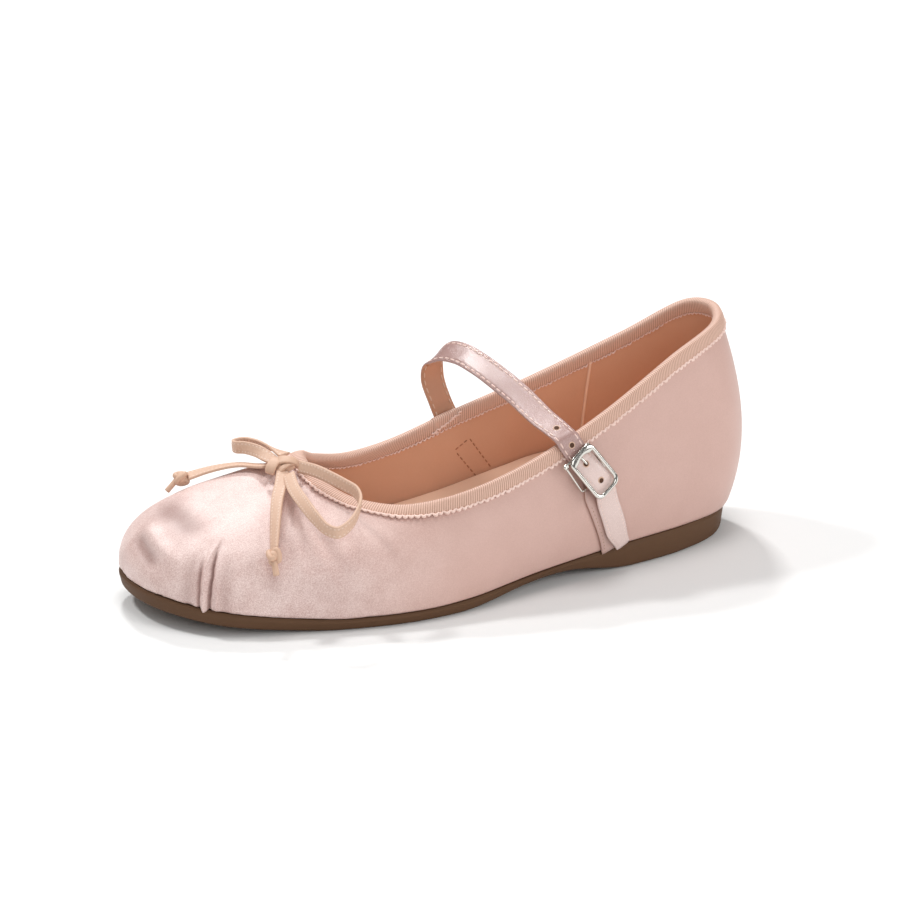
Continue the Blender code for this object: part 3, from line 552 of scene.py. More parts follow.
# %%
MM = 0.001
LACE_WIDTH, LACE_THICKNESS = 0.0045, 0.0012
BEAD_DIAMETER, BEAD_LENGTH, LACE_END = 0.0062, 0.0056, 0.0050
OUTER_LOOP = (
    (1.0, 5.4, -2.2), (3.0, 13.3, -4.1), (3.9, 23.7, -6.1), (3.9, 33.9, -8.6), (2.5, 40.5, -10.9),
    (-0.4, 43.4, -11.6), (-5.2, 42.8, -9.7), (-9.7, 39.6, -6.9), (-12.8, 35.4, -4.4), (-13.4, 30.3, -2.7),
    (-11.6, 25.1, -1.7), (-8.9, 19.5, -0.4), (-6.1, 12.8, 0.5), (-3.2, 5.6, 0.2),
)
INNER_LOOP = (
    (1.4, -5.0, -0.6), (3.2, -8.5, 0.6), (5.0, -13.5, 1.4), (7.4, -18.5, 1.4), (9.4, -21.5, 0.9),
    (9.0, -24.8, 0.6), (5.6, -24.5, 1.0), (2.4, -19.5, 1.6), (-0.6, -12.5, 1.7), (-2.4, -5.4, 1.2),
)
OUTER_TAIL = (
    (1.6, 1.8, -1.8), (4.6, 6.6, -4.4), (9.0, 13.0, -7.6), (13.4, 21.0, -12.0), (17.4, 28.6, -17.2),
    (19.6, 32.9, -20.6),
)
INNER_TAIL = (
    (4.6, -5.4, -1.9), (6.8, -10.4, -3.0), (11.2, -15.0, -3.4), (16.4, -18.8, -4.6), (21.6, -21.8, -6.2),
    (26.3, -23.8, -7.8), (29.6, -25.0, -8.8),
)
OUTER_TIP, INNER_TIP = (20.0, 37.0, -28.0), (32.6, -25.4, -12.0)
KNOT_PLACE, KNOT_NORMAL = wall_points(9.3, 0.93, 0.0050)
KNOT, KNOT_NORMAL = KNOT_PLACE[0], KNOT_NORMAL[0]


def lace_path(offsets, step=0.0008):
    return spaced(np.array(offsets) * MM + KNOT, step)


def lace(name, path, facing, rolls, node):
    """A flat lace along a path, with raised edges. It faces one way where its roll is 0."""
    tangent = unit(np.gradient(path, axis=0))
    flat = unit(np.cross(tangent, facing))
    roll = np.radians(rolls)[:, None]
    across = np.cos(roll) * flat + np.sin(roll) * np.cross(flat, tangent)
    face = np.cross(across, tangent)
    half, deep = LACE_WIDTH / 2, LACE_THICKNESS / 2
    section = []
    for a in np.linspace(-1.0, 1.0, 15):
        crown = 1.0 - 0.35 * abs(a) ** 6 - 0.22 * math.exp(-(((abs(a) - 0.62) / 0.10) ** 2))
        section.append((half * a, deep * crown))
    section += [(half * 1.02, deep * 0.3), (half * 1.02, -deep * 0.3)]
    section += [(half * a, -deep * (1.0 - 0.35 * abs(a) ** 6)) for a in np.linspace(1.0, -1.0, 9)]
    section += [(-half * 1.02, -deep * 0.3), (-half * 1.02, deep * 0.3)]
    section = np.array(section)
    grid = path[:, None] + section[None, :, :1] * across[:, None] + section[None, :, 1:] * face[:, None]
    run = lengths_along(path)
    lay = np.zeros((len(path) + 1, len(section) + 1, 2))
    lay[:-1, :, 0], lay[-1, :, 0] = run[:, None], run[-1]
    lay[:, :-1, 1], lay[:, -1, 1] = section[None, :, 0], section[0, 0]
    piece = surface(name, grid, STITCHED_LACE, round_v=True, lay=lay, slot="lace_leather", caps=True)
    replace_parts(piece, node)
    return piece, path, run[-1]


def stitched_lace():
    """Lace leather with a row of tiny stitch dots inside each edge."""
    sheet = Sheet("stitched_lace", (0.84, 0.56, 0.36), 0.55)
    along, across, where = sheet.cloth()
    grain = sheet.noise(0.0007, 3.0, 0.6)
    from_lane = across.math("ABSOLUTE", across) - 0.00140
    lane = 1.0 - from_lane.math("ABSOLUTE", from_lane).above(0.00010, 0.00034)
    dots = lane * along.wave(0.0015).above(0.45, 0.75)
    colour = sheet.mix(grain, (0.55, 0.340, 0.237), (0.75, 0.520, 0.388))
    colour = sheet.mix(dots * 0.5, colour, (0.88, 0.72, 0.64))
    return sheet.feed(grain * 0.8 + dots * 0.6, 0.00012, 0.8, Base_Color=colour)


STITCHED_LACE = stitched_lace()


def area_direction(points):
    around = points - points.mean(axis=0)
    total = np.cross(around, np.roll(around, -1, axis=0)).sum(axis=0)
    return total / np.linalg.norm(total)


def bow_loop(name, offsets, half_turn):
    """A loop on edge at its far end. It gets there by half a turn, or by turning and coming back."""
    path = lace_path(offsets)
    facing = area_direction(path)
    swing = math.pi * np.linspace(0.0, 1.0, len(path))
    half_turn_rolls = np.where(swing < math.pi / 2, 75.0, 42.0) * np.cos(swing) - 90.0
    rolls = half_turn_rolls if half_turn else 90.0 * np.sin(swing)
    return lace(name + "_lace", path, facing * np.sign(facing[2]), rolls, name)


def bow_tail(name, offsets, facing, twist):
    path = lace_path(offsets)
    path = path[np.linalg.norm(path - path[-1], axis=1) > BEAD_LENGTH * 0.30]
    return lace(name + "_lace", path, np.array(facing), np.linspace(0.0, twist, len(path)), name)


def end_knot(name, offsets, tip):
    """A tight overhand knot: the lace crosses itself three times, and its short end leaves it."""
    centre, before = lace_path(offsets)[-1], lace_path(offsets)[-6]
    into = unit(centre - before)
    along = unit(np.array(tip) * MM + KNOT - centre)
    side = unit(np.cross(into, (0.0, 0.0, 1.0)))
    over = np.cross(side, into)
    t = np.linspace(0.0, 2 * math.pi, 121)
    strand = 0.00105
    size = (BEAD_DIAMETER / 2 - strand) / 3.0
    a, b = size * (np.sin(t) + 2 * np.sin(2 * t)), size * (np.cos(t) - 2 * np.cos(2 * t))
    c = -(BEAD_LENGTH / 2 - strand) * np.sin(3 * t)
    path = centre + a[:, None] * side + b[:, None] * over + c[:, None] * into
    outward = unit(path - centre)
    turns = tube_grid(path, strand, outward, 10)[:-1]
    body = surface(name + "_turns", turns, LACE, round_u=True, round_v=True, slot="lace_leather")
    angle = np.linspace(0.0, 2 * math.pi, 20, endpoint=False)
    core = []
    for s in np.linspace(0.08, 0.92, 9) * math.pi:
        ring = np.cos(angle)[:, None] * side + np.sin(angle)[:, None] * over
        middle_of_ring = centre - into * math.cos(s) * BEAD_LENGTH * 0.42
        core.append(middle_of_ring + ring * math.sin(s) * BEAD_DIAMETER * 0.36)
    core = surface(name + "_core", np.array(core), LACE, round_v=True, slot="lace_leather", caps=True)
    start = centre + into * BEAD_LENGTH * 0.3
    path = np.array([start + along * LACE_END * s for s in np.linspace(0.0, 1.1, 9)])
    width, deep = LACE_WIDTH * 0.25, LACE_THICKNESS * 0.8
    flat = unit(np.cross(along, over))
    face = np.cross(flat, along)
    rim = np.cos(angle)[:, None] * flat * width + np.sin(angle)[:, None] * face * deep
    grid = path[:, None] + rim[None]
    end = surface(name + "_end", grid, LACE, round_v=True, slot="lace_leather", caps=True)
    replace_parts(body, name)
    return [body, core, end]


def bow_middle():
    """The knot in the middle: a turn of lace folded over the front, and one that wraps its toe side."""
    out = unit(KNOT_NORMAL)
    right = unit(np.array([*RIGHT]) - out * (RIGHT @ out))
    up = np.cross(out, right)
    turns = []
    # Shift to the right and up, heading, half length, widths at both ends and height: millimetres, degrees
    folds = (
        (0.6, 0.6, -8.0, 4.0, 4.8, 2.2, 2.4), (-3.8, 0.1, 62.0, 3.4, 3.8, 4.2, 1.9),
        (1.0, -1.5, 30.0, 3.2, 2.4, 1.6, 1.5),
    )
    for shift, rise, heading, half, first, last, height in folds:
        turn = math.radians(heading)
        direction = math.cos(turn) * right + math.sin(turn) * up
        beside = np.cross(out, direction)
        angle = np.linspace(1.12 * math.pi, -0.12 * math.pi, 36)
        centre = KNOT + MM * (shift * right + rise * up - 0.9 * out)
        path = centre + np.outer(np.cos(angle) * half * MM, direction)
        path += np.outer(np.sin(angle) * height * MM, out)
        facing = unit(np.outer(np.cos(angle) * height, direction) + np.outer(np.sin(angle) * half, out))
        width = np.linspace(first, last, len(angle))[:, None] * MM
        ring = np.linspace(0, 2 * math.pi, 24, endpoint=False)
        a, b = np.cos(ring) * 0.5, np.sin(ring) * 0.00062 * (1.0 + 0.25 * np.cos(ring) ** 4)
        a, b = np.sign(a) * np.abs(a * 2) ** 0.6 / 2, np.sign(b) * 0.00062 * (np.abs(b) / 0.00062) ** 0.6
        grid = path[:, None] + (width * a[None])[..., None] * beside + b[None, :, None] * facing[:, None]
        name = f"bow_turn_{len(turns) + 1}"
        turns.append(surface(name, grid, LACE, round_v=True, slot="lace_leather", caps=True))
    ring = np.linspace(0.0, 2 * math.pi, 24, endpoint=False)
    core = []
    for t in np.linspace(0.06, 0.94, 12) * math.pi:
        place = np.outer(np.cos(ring) * math.sin(t) * 0.0040, right)
        place += np.outer(np.sin(ring) * math.sin(t) * 0.0030, up)
        core.append(KNOT + place + (math.cos(t) * 0.0014 - 0.0008) * out)
    turns.append(surface("bow_core", np.array(core), LACE, round_v=True, slot="lace_leather", caps=True))
    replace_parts(turns[0], "bow_knot")
    return turns


outer_loop = bow_loop("bow_loop_outer", OUTER_LOOP, True)
inner_loop = bow_loop("bow_loop_inner", INNER_LOOP, False)
outer_tail = bow_tail("bow_tail_outer", OUTER_TAIL, (0.35, 0.75, 0.55), -62.0)
inner_tail = bow_tail("bow_tail_inner", INNER_TAIL, (0.1, -0.5, 0.86), 40.0)
outer_knot = end_knot("end_knot_outer", OUTER_TAIL, OUTER_TIP)
inner_knot = end_knot("end_knot_inner", INNER_TAIL, INNER_TIP)
middle = bow_middle()
CORDS = (
    (*outer_loop, "object", middle),
    (*inner_loop, "object", []),
    (*outer_tail, "knot", outer_knot),
    (*inner_tail, "knot", inner_knot),
)
for piece, path, length, far_end, with_pieces in CORDS:
    print(piece.name, round(float(length) * 1000), "mm")

# %% [markdown]
# ## Satin upper
#
# One skin of satin is pulled over the last and tucked under above the sole. It can't lie flat round the toe,
# so it makes one sharp tuck at the outer corner, a hollow with a soft ridge over it at the front, and small
# gathers along the sole. They are troughs and ridges laid on the last's surface.

# %%
# Path in rows round the shoe and share up the profile, half width and height in millimetres, and how much
# shade is painted into the satin's colour there
Crease = namedtuple("Crease", "name path width height shade")
CREASES = (
    Crease(
        "tuck_ridge", ((8.105, -0.05), (8.12, 0.10), (8.17, 0.22), (8.27, 0.36), (8.40, 0.50)),
        0.85, 1.35, 0,
    ),
    Crease(
        "tuck_groove", ((8.045, -0.02), (8.055, 0.12), (8.105, 0.25), (8.22, 0.38), (8.40, 0.55)),
        0.48, -2.1, 0.95,
    ),
    Crease("tuck_lip", ((7.965, -0.02), (7.98, 0.12), (8.02, 0.26), (8.13, 0.42)), 0.90, 0.38, 0),
    Crease("tuck_shade", ((7.86, -0.02), (7.89, 0.14), (7.97, 0.30), (8.10, 0.46)), 1.8, -0.35, 0.2),
    Crease("tuck_toe_line", ((8.17, -0.02), (8.185, 0.12), (8.245, 0.24), (8.34, 0.37)), 0.45, -1.1, 0.7),
    Crease("tuck_toe_side", ((8.30, -0.02), (8.33, 0.14), (8.38, 0.28), (8.46, 0.40)), 1.8, -0.35, 0.25),
    Crease(
        "front_hollow", ((9.50, 0.24), (9.30, 0.25), (9.10, 0.23), (8.90, 0.20), (8.72, 0.17)),
        2.5, -1.7, 0.60,
    ),
    Crease(
        "front_ridge", ((9.60, 0.36), (9.35, 0.35), (9.10, 0.34), (8.85, 0.31), (8.60, 0.26), (8.42, 0.20)),
        3.0, 1.15, 0,
    ),
    Crease(
        "upper_hollow", ((9.95, 0.42), (9.55, 0.47), (9.24, 0.50), (8.85, 0.49), (8.56, 0.43)),
        3.7, -1.3, 0.65,
    ),
    Crease(
        "front_ledge", ((9.45, 0.09), (9.20, 0.10), (8.95, 0.09), (8.70, 0.08), (8.45, 0.06)),
        2.6, 0.50, 0,
    ),
    Crease(
        "side_hollow", ((7.80, 0.34), (7.40, 0.28), (6.95, 0.22), (6.50, 0.17), (6.10, 0.13)),
        4.5, -0.38, 0.1,
    ),
    Crease(
        "side_ridge", ((7.88, 0.10), (7.50, 0.10), (7.05, 0.08), (6.60, 0.07), (6.20, 0.06)),
        3.0, 0.35, 0,
    ),
    Crease(
        "inner_toe_hollow", ((10.10, 0.20), (10.30, 0.26), (10.55, 0.26), (10.80, 0.20)),
        3.6, -0.9, 0.12,
    ),
    Crease("inner_toe_tuck", ((10.62, -0.02), (10.60, 0.14), (10.52, 0.28)), 1.2, -0.8, 0.5),
)


def crease_relief(points):
    """How far the creases lift each point of the skin off the last, and how much shade they paint into its
    colour.
    """
    relief, shade = np.zeros(len(points)), np.zeros(len(points))
    for crease in CREASES:
        path = np.array(crease.path)
        places = np.linspace(0, len(path) - 1, 60)
        around = np.interp(places, np.arange(len(path)), path[:, 0])
        up = np.interp(places, np.arange(len(path)), path[:, 1])
        line = wall_points(around, np.clip(up, 0.0, 1.0))[0]
        width = crease.width * MM
        low, high = line.min(axis=0) - 3 * width, line.max(axis=0) + 3 * width
        near = np.flatnonzero(((points > low) & (points < high)).all(axis=1))
        gaps = np.linalg.norm(points[near, None] - line[None], axis=2)
        closest = gaps.argmin(axis=1)
        share = closest / (len(line) - 1)
        from_sole = path[0, 1] < 0.0
        fade = (1.0 if from_sole else ease(0.0, 0.3, share)) * (1.0 - ease(0.65, 1.0, share))
        bell = fade * np.exp(-((gaps.min(axis=1) / width) ** 2))
        relief[near] += crease.height * MM * bell
        shade[near] += crease.shade * np.sqrt(bell * fade)
    return relief, np.clip(shade, 0.0, 0.9)


def gathers(around, ups):
    """Small upright ripples where the satin is drawn in along the sole, strongest round the toe."""
    random = np.random.default_rng(11)
    ripple = np.zeros((len(around), len(ups)))
    for _ in range(150):
        place, height = random.uniform(5.6, 12.4), random.uniform(0.03, 0.11)
        width, reach = random.uniform(0.018, 0.050), random.uniform(0.07, 0.24)
        lean = random.uniform(-0.15, 0.15)
        strength = math.exp(-(((place - 8.9) / 2.2) ** 2)) + 0.15
        line = place + lean * ups
        bell = np.exp(-(((around[:, None] - line[None]) / width) ** 2))
        sign, fade = random.choice((-1.0, 1.0)), (1.0 - ease(0.0, reach, ups))[None]
        ripple += sign * height * MM * strength * bell * fade
    return ripple


def slack(points):
    """Very shallow waves that break up the highlights, as in cloth that is not glued down everywhere."""
    x, y, z = points[:, 0] * 1000, points[:, 1] * 1000, points[:, 2] * 1000
    waves = np.sin(0.16 * x + 0.21 * z + 0.7) * np.sin(0.19 * y - 0.12 * z)
    waves += 0.6 * np.sin(0.29 * x - 0.17 * y + 1.9)
    return 0.00010 * waves * ease(0.090, 0.150, points[:, 0])


def skin_places(count):
    """Places round the shoe, closer together at the tuck."""
    fine = np.linspace(0.0, ROW_COUNT, 8000)
    density = 1.0 + 2.6 * np.exp(-(((fine - 8.12) / 0.32) ** 2)) + 0.5 * np.exp(-(((fine - 9.0) / 1.4) ** 2))
    total = np.concatenate([[0.0], np.cumsum((density[1:] + density[:-1]) / 2)])
    return np.interp(np.arange(count) * total[-1] / count, total, fine)


DEEPEST_FOLD = 0.00115


def make_satin():
    around = skin_places(820)
    ups = np.concatenate([np.linspace(0.0, 0.03, 4)[:-1], np.linspace(0.03, 1.0, 92)])
    depth_end = up_below_collar(around, 0.0012)
    ups_all = ups[None] * np.ones((len(around), 1)) * depth_end[:, None]
    points, normals = wall(around, ups_all)
    flat = points.reshape(-1, 3)
    folds, dark = (values.reshape(points.shape[:2]) for values in crease_relief(flat))
    relief = folds + slack(flat).reshape(points.shape[:2]) + gathers(around, ups)
    relief *= 1.0 - ease(0.80, 0.93, ups)[None]
    relief = np.where(relief < 0, np.tanh(relief / DEEPEST_FOLD) * DEEPEST_FOLD, relief)
    tuck_in = 0.00035 * (1.0 - ease(0.0, 0.02, ups))[None]
    outer = points + (relief - tuck_in)[..., None] * normals
    ridge = np.exp(-(((around - 8.115) / 0.055) ** 2))[:, None] * (1.0 - ease(0.0, 0.12, ups))[None]
    outer[..., 2] -= 0.0010 * ridge
    inner = [wall(around, ups_all[:, [k]], -0.0006)[0][:, 0] for k in (-1, 86)]
    inner += [wall(around, ups_all[:, [k]], -0.00125)[0][:, 0] for k in (72, 58, 46, 34, 23, 13, 5, 0)]
    grid = np.concatenate([outer, np.stack(inner, axis=1)], axis=1)
    run = lengths_along(np.vstack([points[:, 40], points[:1, 40]]))
    rise = lengths_along(points[len(points) // 2])
    lay = np.zeros((len(around) + 1, grid.shape[1] + 1, 2))
    lay[..., 0] = run[:, None]
    lay[:, : len(rise), 1] = rise[None]
    lay[:, len(rise) :, 1] = rise[-1]
    made = surface("satin_skin", grid, SATIN, round_u=True, round_v=True, lay=lay, slot="pink_satin")
    # The creases' painted shade, kept on the skin's outer face for the satin's colour.
    shade = np.zeros(grid.shape[:2])
    shade[:, : folds.shape[1]] = dark
    made.data.attributes.new("painted_fold_shade", "FLOAT", "POINT").data.foreach_set("value", shade.ravel())
    return made


skin = make_satin()
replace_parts(skin, "upper")
print("satin faces:", len(skin.data.polygons))

# %% [markdown]
# ## Lining
#
# Inside, the upper is lined with thin tan leather. It shows a raised seam where its back and front pieces
# meet, and a stitched box where the strap's inner end is sewn through the wall.


# %%
# Rows round the shoe, and their change from the sole to the collar
SEAM_PLACE, SEAM_LEAN, SEAM_RADIUS = 15.50, 0.12, 0.00062
STITCH_BOX = ((14.30, 0.35), (14.02, 0.654), (14.21, 0.718), (14.49, 0.385))


def make_lining():
    around = np.linspace(0.0, ROW_COUNT, 360, endpoint=False)
    top = up_below_collar(around, 0.0012)
    ups = np.linspace(0.0, 1.0, 44)[None] * top[:, None]
    seam = np.exp(-(((around[:, None] - (SEAM_PLACE + SEAM_LEAN * ups)) / 0.030) ** 2))
    seam += np.exp(-(((around[:, None] - (2.45 - 0.10 * ups)) / 0.030) ** 2))
    inner, _ = wall(around, ups, -(UPPER_WALL + 0.00045 * seam))
    back = [wall(around, ups[:, [k]], -0.00140)[0][:, 0] for k in range(43, -1, -6)]
    grid = np.concatenate([inner, np.stack(back, axis=1)], axis=1)
    return surface("tan_lining", grid, LINING, round_u=True, round_v=True, slot="pink_satin")


def stitch_line(places, pitch, length, radius, normals, lift=0.0, flat=0.6):
    """Stitches of one length laid end to end along points, each a flattened bar."""
    run = lengths_along(places)
    bars = []
    for start in np.arange(pitch / 2, run[-1] - length / 2, pitch):
        ends = (start - length / 2, start + length / 2)
        a, b = (np.array([np.interp(end, run, places[:, i]) for i in range(3)]) for end in ends)
        normal = unit(np.array([np.interp(start, run, normals[:, i]) for i in range(3)]))
        side = np.cross(unit(b - a), normal)
        bars.append(capsule(a + lift * normal, b + lift * normal, radius, side, flat=flat))
    return bars


def lining_marks():
    """The box of stitches where the strap's inner end is sewn through."""
    bars = []
    for (a, b), (c, d) in zip(STITCH_BOX[:-1], STITCH_BOX[1:]):
        share = np.linspace(0.0, 1.0, 24)
        points, normals = wall_points(a + (c - a) * share, b + (d - b) * share, -UPPER_WALL - 0.00006)
        bars += stitch_line(points, 0.0021, 0.0012, 0.00026, -normals)
    return merged("lining_stitches", bars, DARK_THREAD)


def seam_ridge():
    """A narrow folded edge of paler leather standing along the lining's seam."""
    ups = np.linspace(0.25, 0.93, 50)
    path, normals = wall_points(SEAM_PLACE + SEAM_LEAN * ups, ups, -UPPER_WALL - 0.00035)
    grid = tube_grid(path, SEAM_RADIUS, normals)
    return surface("lining_seam", grid, FOOTBED, round_v=True, slot="pink_satin", caps=True)


make_lining()
lining_marks()
seam_ridge()

# %% [markdown]
# ## Insole
#
# A padded footbed of peach leather lies on a lift that is highest under the heel. Its edge is rounded and
# shows as a bright band along the collar.

# %%
INSOLE_THICKNESS, INSOLE_FIT, INSOLE_EDGE = 0.0030, 0.0006, 0.0012
HEEL_LIFT, ARCH_SUPPORT = 0.0160, 0.0025


def insole_top(x, y):
    share = (x + HEEL_REST) / SHOE_LENGTH
    lift = HEEL_LIFT * (1.0 - ease(0.16, 0.85, share))
    waist = ease(0.10, 0.40, share) * (1.0 - ease(0.50, 0.75, share))
    side = np.clip(-y / (0.38 * BALL_WIDTH), 0.0, 1.0) ** 2
    return sole_top(x) + INSOLE_THICKNESS + lift + ARCH_SUPPORT * waist * side


def rungs(edge, height, steps=18):
    """A grid of points across a closed ring, from its outer to its inner side, at height(x, y)."""
    half = len(edge) // 2
    left, right = edge[: half + 1, :2], edge[np.arange(2 * half, half - 1, -1) % len(edge), :2]
    share = np.linspace(0.0, 1.0, steps + 1)[None, :, None]
    flat = left[:, None] * (1 - share) + right[:, None] * share
    return np.concatenate([flat, height(flat[..., 0], flat[..., 1])[..., None]], axis=2)


def pad(name, rings, top, bottom, finish, node):
    """A flat solid: rings round its edge, closed above and below by rungs across it."""
    count = len(rings[0])
    half = count // 2
    grids = [rungs(rings[-1], top), rungs(rings[0], bottom)]
    mesh = bpy.data.meshes.new(name)
    shape = bmesh.new()
    side = [[shape.verts.new(p) for p in ring] for ring in rings]
    for low, high in zip(side[:-1], side[1:]):
        for i in range(count):
            j = (i + 1) % count
            shape.faces.new((low[i], low[j], high[j], high[i]))
    for grid, ring in zip(grids, (side[-1], side[0])):
        steps = grid.shape[1] - 1
        lines = [[ring[0]]]
        for j in range(1, half):
            middle = [shape.verts.new(p) for p in grid[j, 1:-1]]
            lines.append([ring[j], *middle, ring[count - j]])
        lines.append([ring[half]])
        for a, b in zip(lines[:-1], lines[1:]):
            for s in range(steps):
                first = [a[0]] if len(a) == 1 else [a[s], a[s + 1]]
                second = [b[0]] if len(b) == 1 else [b[s + 1], b[s]]
                shape.faces.new(first + second)
    bmesh.ops.recalc_face_normals(shape, faces=shape.faces)
    shape.to_mesh(mesh)
    shape.free()
    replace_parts(add_piece(name, mesh, finish), node)


def make_insole():
    around = np.linspace(0.0, ROW_COUNT, 288, endpoint=False)
    inside = -(UPPER_WALL + INSOLE_FIT)
    low = wall_points(around, 0.0, inside)[0]
    low[:, 2] = sole_top(low[:, 0]) + GAP
    reach = columns(around)[:, :2]
    shoulder = insole_top(reach[:, 0], reach[:, 1]) - INSOLE_EDGE / 2
    rings = [low]
    for part in (0.34, 0.67, 1.0):
        height = low[:, 2] + part * (shoulder - low[:, 2])
        rings.append(wall_points(around, up_at_height(around, height, inside), inside)[0])
    edge = rings[-1]
    outward = foot_normals(around)
    for inward, part in ((0.18, 0.55), (0.50, 0.85), (1.0, 1.0)):
        ring = edge.copy()
        ring[:, :2] -= outward * INSOLE_EDGE * inward
        crown = insole_top(ring[:, 0], ring[:, 1])
        ring[:, 2] = edge[:, 2] + part * (crown - edge[:, 2])
        rings.append(ring)
    bottom = lambda x, y: sole_top(x) + GAP
    return pad("footbed", rings, insole_top, bottom, FOOTBED, "insole")


make_insole()

# %% [markdown]
# ## Sole
#
# The sole is one brown moulding with a low heel. Its side turns under a little, its lower edge is rounded and
# a fine line runs round it just under the upper.


# %%
def make_sole():
    around = np.linspace(0.0, ROW_COUNT, 432, endpoint=False)
    foot = columns(around)[:, :2]
    outward = foot_normals(around)
    share = (foot[:, 0] + HEEL_REST) / SHOE_LENGTH
    set_in = 0.0020 * (1.0 - ease(0.02, 0.16, share))
    # Outset from the foot line, share of the side's height and rise above it
    edge = (
        (-0.0022, 0.0, 0.0), (-0.0015, 0.0, 0.0001), (-0.0010, 0.0, 0.0004), (-0.0006, 0.0, 0.0009),
        (-0.0004, 0.0, 0.0015), (-0.0001, 0.35, 0.0008), (0.0002, 0.65, 0.0), (0.0003, 0.84, 0.0),
        (0.0002, 0.90, 0.0), (-0.0001, 0.93, 0.0), (-0.0001, 0.96, 0.0), (-0.0003, 1.0, 0.0),
    )
    rings = []
    for outset, part, lift in edge:
        plan = foot + outward * (outset - set_in)[:, None]
        low, high = sole_bottom(plan[:, 0]), sole_top(plan[:, 0])
        rings.append(np.column_stack([plan, low + part * (high - low) + lift]))
    top, bottom = (lambda x, y: sole_top(x)), (lambda x, y: sole_bottom(x))
    return pad("moulded_sole", rings, top, bottom, RUBBER, "outsole")


make_sole()

# %% [markdown]
# ## Collar binding
#
# Ribbed grosgrain tape is folded over the collar and sewn through with one line of thread, which pulls the
# tape's lower edge into small scallops. The ribs cross the tape, so they stand upright round the opening.

# %%
BINDING_DEPTH, BINDING_THICKNESS = 0.0042, 0.0006


def even_around(step):
    """Places round the shoe at even distances along the collar, a whole number of steps."""
    fine = np.linspace(0.0, ROW_COUNT, 4001)
    run = lengths_along(wall_points(fine, 1.0)[0])
    count = round(run[-1] / step)
    return np.interp(np.arange(count) * run[-1] / count, run, fine)


def collar_section(around, depth, out, rise=0.0):
    """A ring below the collar's edge by depth and off the wall by out, raised over the edge by rise."""
    up = up_below_collar(around, depth)
    points = wall_points(around, up, out)[0]
    over = unit(wall_points(around, 1.0)[0] - wall_points(around, up_below_collar(around, 0.002))[0])
    return points + over * np.asarray(rise).reshape(-1, 1)


def make_binding():
    around = even_around(RIB_PITCH / 4)
    count = len(around)
    rib = 0.5 - 0.5 * np.cos(2 * math.pi * np.arange(count) / 4)
    scallop = np.abs(np.sin(math.pi * np.arange(count) / 8.0))
    lap = ease(13.66, 13.70, around) * (1.0 - ease(14.02, 14.05, around))
    swell, far = 0.00015 * rib + 0.00035 * lap, GAP + BINDING_THICKNESS
    edge = BINDING_DEPTH + 0.00030 * scallop
    back = UPPER_WALL + far
    rings = [
        collar_section(around, edge, 0.00028),
        collar_section(around, edge, far * 0.75 + swell * 0.5),
        collar_section(around, 0.0037, far * 0.92 + swell),
        collar_section(around, 0.0027, far * 1.12 + swell),
        collar_section(around, 0.0015, far * 1.12 + swell),
        collar_section(around, 0.0005, far * 1.0 + swell),
        collar_section(around, 0.0, far * 0.72 + swell, 0.00052 + swell * 0.5),
        collar_section(around, 0.0, 0.00005, 0.00088 + swell),
        collar_section(around, 0.0, -UPPER_WALL * 0.5, 0.00102 + swell),
        collar_section(around, 0.0, -UPPER_WALL - 0.00005, 0.00088 + swell),
        collar_section(around, 0.0, -UPPER_WALL - far * 0.72 - swell, 0.00052 + swell * 0.5),
        collar_section(around, 0.0005, -back - swell),
        collar_section(around, 0.0020, -back - swell),
        collar_section(around, 0.0036, -back - swell),
        collar_section(around, edge, -back + 0.0002),
        collar_section(around, edge, -UPPER_WALL - 0.00020),
        collar_section(around, 0.0015, -UPPER_WALL - 0.00020),
        collar_section(around, 0.0015, 0.00020),
    ]
    grid = np.stack(rings, axis=1)
    lay = np.zeros((count + 1, len(rings) + 1, 2))
    lay[..., 0] = (np.arange(count + 1) * RIB_PITCH / 4)[:, None]
    lay[..., 1] = (np.arange(len(rings) + 1) * 0.0006)[None]
    closed = {"round_u": True, "round_v": True}
    piece = surface("ribbed_binding", grid, GROSGRAIN, lay=lay, slot="grosgrain_tape", **closed)
    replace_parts(piece, "collar_binding")
    return piece


def binding_thread(name, out, depth, size, pitch):
    """A scalloped thread along the tape's lower edge."""
    step, stretch = 0.00036, 0.0023
    around = even_around(step)
    run = np.arange(len(around)) * step
    random = np.random.default_rng(3)
    stretches = np.arange(0.0, run[-1] + 0.003, stretch)
    pulls = random.uniform(-1.0, 1.0, int((run[-1] + 0.003) / stretch) + 1)
    uneven = np.interp(run, stretches, pulls)
    bump = np.abs(np.sin(math.pi * (run + 0.0004 * uneven) / pitch)) * (1.0 + 0.35 * uneven)
    path = collar_section(around, depth + 0.00075 * bump, out + math.copysign(0.00018, out) * bump)
    normals = wall_points(around, 0.9)[1]
    radius = size * (0.60 + 0.60 * np.append(bump, bump[0]))
    grid = tube_grid(np.vstack([path, path[:1]]), radius, np.vstack([normals, normals[:1]]), 7)
    return surface(name, grid[:-1], THREAD, round_u=True, round_v=True, slot="grosgrain_tape")


def lap_stitches():
    """The tape's two ends are caught down with a ragged run of thread where they overlap."""
    random = np.random.default_rng(5)
    bars = []
    for share in np.linspace(0.0, 1.0, 34):
        around = 13.66 + 0.42 * share + random.uniform(-0.035, 0.035, 2)
        depth = BINDING_DEPTH * (0.92 - 0.80 * share) + random.uniform(-0.0005, 0.0005, 2)
        ends = collar_section(around, depth, -UPPER_WALL - GAP - BINDING_THICKNESS - 0.00055)
        normals = -wall_points(around, 0.9)[1]
        if np.linalg.norm(ends[1] - ends[0]) > 0.0004:
            side = np.cross(unit(ends[1] - ends[0]), normals[0])
            bars.append(capsule(ends[0], ends[1], 0.00032, side))
    return merged("lap_stitches", bars, THREAD)


